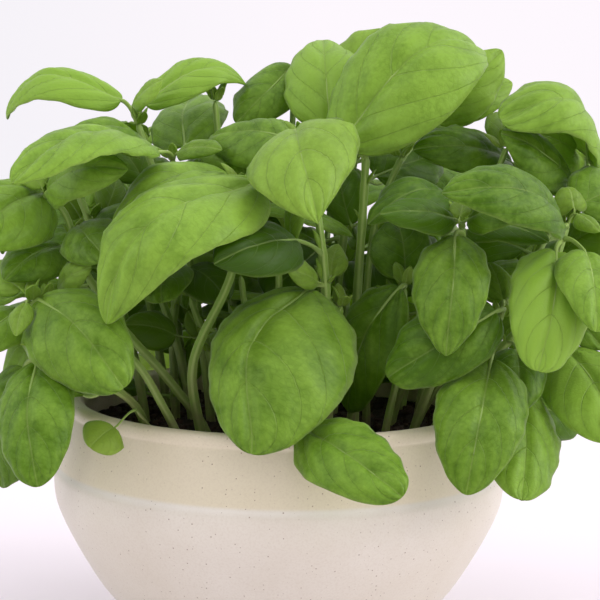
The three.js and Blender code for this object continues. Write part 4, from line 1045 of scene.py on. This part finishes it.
def relief(leaf, t, v, half, long):  # v runs from -1 to 1, with the midrib at 0
    shape, lateral, calm = bladeShape, half * abs(v), min(1, half / bladeShape["calm"])
    swell = abs(math.sin(math.pi * veinPhase(leaf, t, v))) ** shape["quiltPower"]
    room = min(lateral / (shape["quiltFrom"] * long), 1) * (1 - abs(v) ** 5)
    furrow = math.exp(-(lateral / (shape["furrowWidth"] * long)) ** 2) * min(8 * t, 1) * (1 - t) ** 0.4
    size = shape["unevenSize"]
    rough = noise.noise(Vector((half * v / size, t * long / size, 9 * leaf["phase"])))
    frill = math.sin(5 * leaf["phase"] + shape["frillTurn"] * t * long) * v ** 6 * calm
    return (shape["quilt"] * long * swell * room - shape["furrow"] * long * furrow
            + shape["shoulder"] * half * 2 * abs(v) * (1 - abs(v))
            + shape["uneven"] * rough * calm + shape["frill"] * frill)


# Attributes: blade is centimetres across and along, and the side veins' phase. growth is tone, partly painted
# light and shade, under, young.
def growBlade(bm, layers, leaf, rows, columns):
    shape = bladeFrame(leaf)
    long = shape[3]
    corners = bmesh.ops.create_grid(bm, x_segments=columns, y_segments=rows, size=1)["verts"]
    lifts = {}
    for corner in corners:
        v, t = corner.co.x, 0.5 - 0.5 * math.cos(math.pi * 0.5 * (corner.co.y + 1))  # rows closer at the ends
        half = 0.5 * leaf["wide"] * outline(t) ** leaf["full"]
        place = bladePoint(leaf, shape, t, v + midribAt(leaf, t) * (1 - abs(v)))
        corner.co = (place + shape[0] * (leaf["slant"] * half * v)) * mm
        corner[layers["blade"]] = (half * v / 10, t * long / 10, veinPhase(leaf, t, v))
        corner[layers["growth"]] = (leaf["tone"], 0, leaf["young"])
        corner[layers["margin"]] = abs(v)
        lifts[corner] = relief(leaf, t, v, half, long) * mm if 0.001 < t < 0.999 else None
    faces = {face for corner in corners for face in corner.link_faces}
    for face in faces:
        face.normal_update()
    for corner in corners:
        corner.normal_update()
    moves = {corner: corner.normal * lift for corner, lift in lifts.items() if lift is not None}
    for corner, move in moves.items():
        corner.co += move
    ends = [corner for corner in corners if corner not in moves]
    bmesh.ops.remove_doubles(bm, verts=ends, dist=0.002 * mm)
    faces = [face for face in faces if face.is_valid]
    made = bmesh.ops.solidify(bm, geom=faces, thickness=bladeShape["thick"] * mm)["geom"]
    for corner in made:
        if isinstance(corner, bmesh.types.BMVert):
            tone, _, young = corner[layers["growth"]]
            corner[layers["growth"]] = (tone, 1, young)


# Stems and leaf stalks.

stemShape = {
    "sides": 20, "taper": 0.62,
    "square": 3.4,              # how square it is
    "reach": 0.84,              # of its sides, for the radius of its corners
    "groove": 0.10,             # depth of the groove down each side, for the radius
    "joint": 0.16,              # how much it swells where leaves grow
    "jointLength": 3.2,         # mm
    "stretch": 2.2,             # mm of stem for each ring of corners
    "footLength": 45,           # mm of stem above the soil that is older and browner
    "tip": (0.35, 2),           # its radius at the end, and the mm over which a whole radius is gained
}
stalkShape = {
    "sides": 10, "rings": 12,
    "radius": 1.05,             # mm, for a blade of full length
    "fullFrom": 50, "least": 0.45,      # mm, and the smallest share of that radius
    "clasp": (1.5, 0.9),        # its width where it leaves the stem, and beyond
    "rib": [0.06, 0.14, 0.24, 0.36, 0.5, 0.64, 0.76],  # where the midrib's underside is laid
    "ribWidth": (0.75, 0.2),    # at the base and at the tip
    "ribSink": 0.30,            # mm below the blade's middle
    "leave": 0.6,               # how far it first follows the stem
    "edge": (0.35, 0.25),       # how much of an edge's colour it has all round, and more on two sides
    "aged": 0.12,               # where it leaves the stem
}


def growTube(bm, places, radii, sides, growth, outlineAt=None):
    rings = len(places) - 1
    tube = bmesh.new()
    layer = tube.verts.layers.float_vector.new("growth")
    bmesh.ops.create_cone(tube, cap_ends=True, segments=sides, radius1=1, radius2=1, depth=1)
    lengthwise = [edge for edge in tube.edges if abs(edge.verts[0].co.z - edge.verts[1].co.z) > 0.5]
    bmesh.ops.subdivide_edges(tube, edges=lengthwise, cuts=rings - 1, use_grid_fill=True)
    across = (places[1] - places[0]).orthogonal().normalized()
    frames = []
    for i in range(rings + 1):
        tangent = (places[min(i + 1, rings)] - places[max(i - 1, 0)]).normalized()
        across = (across - tangent * across.dot(tangent)).normalized()
        frames.append((across, tangent.cross(across)))
    for corner in tube.verts:
        i = round((corner.co.z + 0.5) * rings)
        angle = math.atan2(corner.co.y, corner.co.x)
        reach = radii[i] * (outlineAt(angle) if outlineAt else 1)
        corner[layer] = growth(i / rings, angle)
        one, two = frames[i]
        corner.co = (places[i] + (one * math.cos(angle) + two * math.sin(angle)) * reach) * mm
    for face in tube.faces:
        face.material_index = 1
    joined = bpy.data.meshes.new("tube")
    tube.to_mesh(joined)
    tube.free()
    bm.from_mesh(joined)
    bpy.data.meshes.remove(joined)


def squareReach(angle):  # a rounded square with a groove down each side
    c, s = abs(math.cos(angle)), abs(math.sin(angle))
    power = stemShape["square"]
    flat = max(0, math.cos(4 * angle)) ** 2
    return stemShape["reach"] / (c ** power + s ** power) ** (1 / power) - stemShape["groove"] * flat


def growStem(bm, stem, tone):
    shape, curve = stemShape, stem["curve"]
    long = curve.lengths[-1]
    rings, (tipShare, tipLength) = max(8, round(long / shape["stretch"])), shape["tip"]
    shares = [i / rings for i in range(rings + 1)]
    joints = sorted({round(leaf["at"], 3) for leaf in stem["leaves"]})
    radii = []
    for share in shares:
        swell = sum(math.exp(-((share - joint) * long / shape["jointLength"]) ** 2) for joint in joints)
        radius = stem["radius"] * mix(1, shape["taper"], share) * (1 + shape["joint"] * min(swell, 1))
        radii.append(radius * min(1, tipShare + (1 - share) * long / tipLength))

    def growth(share, angle):  # how near to a sharp edge, how low, its tone
        low = 1 - (curve.point(share).z - soilTop) / shape["footLength"]
        return max(0, -math.cos(4 * angle)) ** 2, max(0, min(1, low)), tone
    growTube(bm, [curve.point(share) for share in shares], radii, shape["sides"], growth, squareReach)


def stalkCurve(stem, leaf):
    start, base = stem["curve"].point(leaf["at"]), leaf["base"]
    reach = (base - start).length / 3
    onward = stem["curve"].tangent(leaf["at"]) * stalkShape["leave"]
    leave = (onward + (base - start).normalized()).normalized()
    arrive = (bladePoint(leaf, bladeFrame(leaf), 0.03, 0) - base).normalized()
    return bend(start, start + leave * reach, base - arrive * reach, base)


def growStalk(bm, stem, leaf):
    look, shape, curve = stalkShape, bladeFrame(leaf), stalkCurve(stem, leaf)
    rings = look["rings"]
    full = look["radius"] * min(1, max(look["least"], shape[3] / look["fullFrom"]))
    places = [curve.point(i / rings) for i in range(rings)]
    radii = [full * mix(*look["clasp"], min(1, 3 * i / rings)) for i in range(rings)]
    for t in look["rib"]:
        sink = look["ribSink"] + bladeShape["furrow"] * shape[3] * min(8 * t, 1)
        places.append(bladePoint(leaf, shape, t, midribAt(leaf, t)) - shape[1] * sink)
        radii.append(full * mix(*look["ribWidth"], t))
    even, sided = look["edge"]

    def growth(share, angle):
        return even + sided * math.cos(2 * angle), look["aged"] * (1 - share), leaf["tone"]
    growTube(bm, places, radii, look["sides"], growth)


# The small leaves at a stem's tip and where leaf stalks join it.

budShape = {
    "tipLeaves": 4, "tipLong": (8, 13), "tipLean": (30, 62),
    "innerScale": 0.7, "innerLean": 14,         # the second pair at the tip, against the first
    "sideLong": (5, 11), "sideLean": (38, 68), "sideStray": 20, "sideChance": 0.75,
    "tipAt": 0.99, "sideTo": 0.95,              # shares of the stem
    "away": 0.12,                               # from the stem, for its length
    "slender": 0.56, "young": (0.1, 0.6),
    "shape": {"arch": 0.14, "cup": 0.4, "wave": 0.04, "skew": 0, "tone": 0.5},
    "grid": (9, 6),                             # rows and columns
    "seed": 11,
}
chance = Random(budShape["seed"])


def growBud(bm, layers, stem, at, azimuth, lean, long):
    axis = direction(azimuth, lean)
    base = stem["curve"].point(at) + axis * (stem["radius"] * 0.5 + budShape["away"] * long)
    leaf = {**leafDefaults, **budShape["shape"], "base": base, "tip": base + axis * long,
            "face": skyward - axis * 0.2, "wide": long * budShape["slender"],
            "phase": chance.uniform(0, 6), "young": chance.uniform(*budShape["young"])}
    growBlade(bm, layers, leaf, *budShape["grid"])


def growBuds(bm, layers, stem):
    rule, first = budShape, chance.uniform(0, 360)
    for i in range(rule["tipLeaves"]):
        inner = i // 2
        long = chance.uniform(*rule["tipLong"]) * (rule["innerScale"] if inner else 1)
        lean = chance.uniform(*rule["tipLean"]) + rule["innerLean"] * inner
        growBud(bm, layers, stem, rule["tipAt"], first + 180 * i + 90 * inner, lean, long)
    for at in sorted({round(leaf["at"], 2) for leaf in stem["leaves"] if leaf["at"] < rule["sideTo"]}):
        for way in (0, 180):
            if chance.random() < rule["sideChance"]:
                azimuth = first + way + chance.uniform(-rule["sideStray"], rule["sideStray"])
                growBud(bm, layers, stem, at, azimuth,
                        chance.uniform(*rule["sideLean"]), chance.uniform(*rule["sideLong"]))


# Each leafy stem as one piece.

bladeDetail = [(46, (36, 22)), (24, (26, 16)), (0, (14, 10))]  # longer than so many mm: rows and columns
# youngTo: the length in mm below which a leaf looks younger, and over how many mm.
leafMood = {"tone": (0.25, 0.7), "stray": (-0.2, 0.3), "skew": 0.14, "youngTo": (34, 30), "young": 0.4}


def newPiece(name, bm, finishes, slotName, *nodes):
    for face in bm.faces:
        face.smooth = True
    piece = addObject(name, bpy.data.meshes.new(name))
    bm.to_mesh(piece.data)
    bm.free()
    for finish in finishes:
        piece.data.materials.append(materials[finish])
    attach(piece, "root")
    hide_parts(*nodes)


def growPiece(stem):
    bm = bmesh.new()
    layers = {name: bm.verts.layers.float_vector.new(name) for name in ("blade", "growth")}
    layers["margin"] = bm.verts.layers.float.new("margin")
    mood, skew, (youngTo, fade) = leafMood, leafMood["skew"], leafMood["youngTo"]
    tone = chance.uniform(*mood["tone"])
    for leaf in stem["leaves"]:
        long = (leaf["tip"] - leaf["base"]).length
        leaf.setdefault("tone", tone + chance.uniform(*mood["stray"]))
        leaf.setdefault("skew", chance.uniform(-skew, skew))
        leaf.setdefault("young", max(0, min(1, (youngTo - long) / fade)) * mood["young"])
        growBlade(bm, layers, leaf, *next(grid for least, grid in bladeDetail if long > least))
    if not isSeedling(stem):
        growBuds(bm, layers, stem)
    growStem(bm, stem, tone)
    for leaf in stem["leaves"]:
        growStalk(bm, stem, leaf)
    newPiece("grown_" + stem["name"], bm, ("blade", "stalk"), "leaf", stem["name"])


for stem in plant:
    growPiece(stem)


# The bowl.

bowlProfile = {
    "outside": [(52, 0), (54.5, 0.8), (57.8, 4.2), (63.6, 11.5), (68.8, 19.5), (78.2, 31), (86.4, 44),
                (94.4, 59), (97.9, 68), (98.8, 74), (98.9, 78.5)],
    "ledge": [(98.75, 80.2), (98.3, 81.6), (97.75, 82.7), (97.3, 83.8), (97.0, 85.3)],
    "collar": [(96.3, 88.5), (94.6, 97), (93.2, 104), (92.7, 106.4)],
    "lip": [(92.9, 107.3), (92.9, 109.2), (92.2, 111), (90.6, 112), (88.4, 112), (86.7, 111), (85.8, 109)],
    "inside": [(86.0, 105), (86.6, 98), (89.3, 89), (91.4, 82), (91.9, 72), (90.2, 63), (85.5, 54),
               (73.2, 34), (61.5, 21), (49.5, 10.6), (38, 8.5), (20, 8)],
    "foot": [(50.5, 0), (49.6, 0.5), (48.8, 1.6), (28, 1.9)],
    "clayTo": 2.2,      # mm: the glaze ends here
    "sides": 144,
    "smooth": 2,        # cuts between two points of a curved stretch
}


def curved(points):  # more points along a smooth curve through these
    path = through([Vector((r, 0, z)) for r, z in points])
    count = (len(points) - 1) * (bowlProfile["smooth"] + 1)
    return [path.at(i / count) for i in range(count + 1)]


def lathe(bm, points, sides):
    corners = [bm.verts.new(point * mm) for point in points]
    edges = [bm.edges.new(pair) for pair in zip(corners, corners[1:])]
    bmesh.ops.spin(bm, geom=corners + edges, cent=(0, 0, 0), axis=(0, 0, 1), angle=2 * math.pi,
                   steps=sides, use_merge=True)
    bmesh.ops.remove_doubles(bm, verts=bm.verts, dist=0.01 * mm)
    bmesh.ops.recalc_face_normals(bm, faces=bm.faces)


def throwBowl():
    profile = bowlProfile
    wall = profile["outside"] + profile["ledge"] + profile["collar"] + profile["lip"] + profile["inside"]
    foot = [(0, profile["foot"][-1][1])] + profile["foot"][::-1]
    floor = Vector((0, 0, profile["inside"][-1][1]))
    bm = bmesh.new()
    lathe(bm, [Vector((r, 0, z)) for r, z in foot] + curved(wall) + [floor], profile["sides"])
    for face in bm.faces:
        face.material_index = int(face.calc_center_median().z < profile["clayTo"] * mm)
    newPiece("glazed_bowl", bm, ("glaze", "clay"), "pot_glaze", "pot")


throwBowl()
print("bowl thrown")


# The soil.

soilShape = {
    "edge": 86.0, "gap": 0.3, "rings": 60, "sides": 144,
    "relief": 2.2, "level": 92,             # mm high, and the radius where it ends
    "clods": (1.1, 9), "grit": (0.55, 2.2),     # mm high, mm across
    "mound": 1.6, "moundReach": 6.5,        # mm, round each stem
    "side": [(86.0, 99.2), (88.9, 89.3), (91.0, 82.3), (91.5, 72.3), (85.1, 54.3), (72.8, 34.3), (49.2, 11.4),
             (20, 8.6)],
    "crumbs": 1500, "crumbReach": 84,
    "crumbSize": (0.5, 2.3), "crumbSunk": 0.3, "crumbRough": 0.25,
    "crumbStretch": ((0.7, 1.5), (0.6, 1), (0.5, 0.9)),
}


def soilHeight(x, y):  # as the solid's, with clods, grit and a mound round each stem
    shape = soilShape
    edge = 1 - (math.hypot(x, y) / shape["level"]) ** 4
    waves = (0.5 * math.sin(0.11 * x + 1) + 0.5 * math.cos(0.13 * y - 0.05 * x)
             + 0.4 * math.sin(0.29 * x + 0.23 * y))
    (clodHigh, clodWide), (gritHigh, gritWide) = shape["clods"], shape["grit"]
    clods = noise.fractal(Vector((x / clodWide, y / clodWide, 2)), 1, 2, 3)
    grit = noise.noise(Vector((x / gritWide, y / gritWide, 7)))
    near = min((stem["foot"] - Vector((x, y))).length for stem in plant)
    mound = math.exp(-(near / shape["moundReach"]) ** 2)
    return (soilTop + shape["relief"] * edge * waves + clodHigh * clods + gritHigh * grit
            + shape["mound"] * mound)


def addCrumb(bm):
    shape = soilShape
    away, angle = shape["crumbReach"] * math.sqrt(chance.random()), chance.uniform(0, 2 * math.pi)
    x, y = away * math.cos(angle), away * math.sin(angle)
    size = mix(*shape["crumbSize"], chance.random() ** 3)
    turn = Quaternion(Vector((chance.random(), chance.random(), 1)), chance.uniform(0, 6.3)).to_matrix()
    stretch = Matrix.Diagonal([chance.uniform(*limits) for limits in shape["crumbStretch"]])
    place = Matrix.Translation(Vector((x, y, soilHeight(x, y) + shape["crumbSunk"] * size)) * mm)
    lump = bmesh.ops.create_icosphere(bm, subdivisions=1, radius=size * mm,
                                      matrix=place @ (turn @ stretch).to_4x4())
    for corner in lump["verts"]:
        corner.co += corner.normal * (chance.uniform(-1, 1) * shape["crumbRough"] * size * mm)


def fillSoil():
    shape = soilShape
    for stem in plant:
        stem["foot"] = stem["curve"].point(rootDepth / stem["curve"].lengths[-1]).xy
    step = shape["edge"] / shape["rings"]
    top = [Vector((step * i, 0, soilTop)) for i in range(shape["rings"])]
    side = [Vector((r - shape["gap"], 0, z)) for r, z in shape["side"]]
    bm = bmesh.new()
    lathe(bm, top + side + [Vector((0, 0, side[-1].z))], shape["sides"])
    for corner in bm.verts:
        if corner.co.z > (soilTop - 0.01) * mm:
            corner.co.z = soilHeight(corner.co.x / mm, corner.co.y / mm) * mm
    body = len(bm.faces)
    for _ in range(shape["crumbs"]):
        addCrumb(bm)
    bm.faces.ensure_lookup_table()
    for face in bm.faces[body:]:
        face.material_index = 1
    newPiece("potting_soil", bm, ("soil", "crumb"), "soil", "soil")


fillSoil()
print("soil filled")
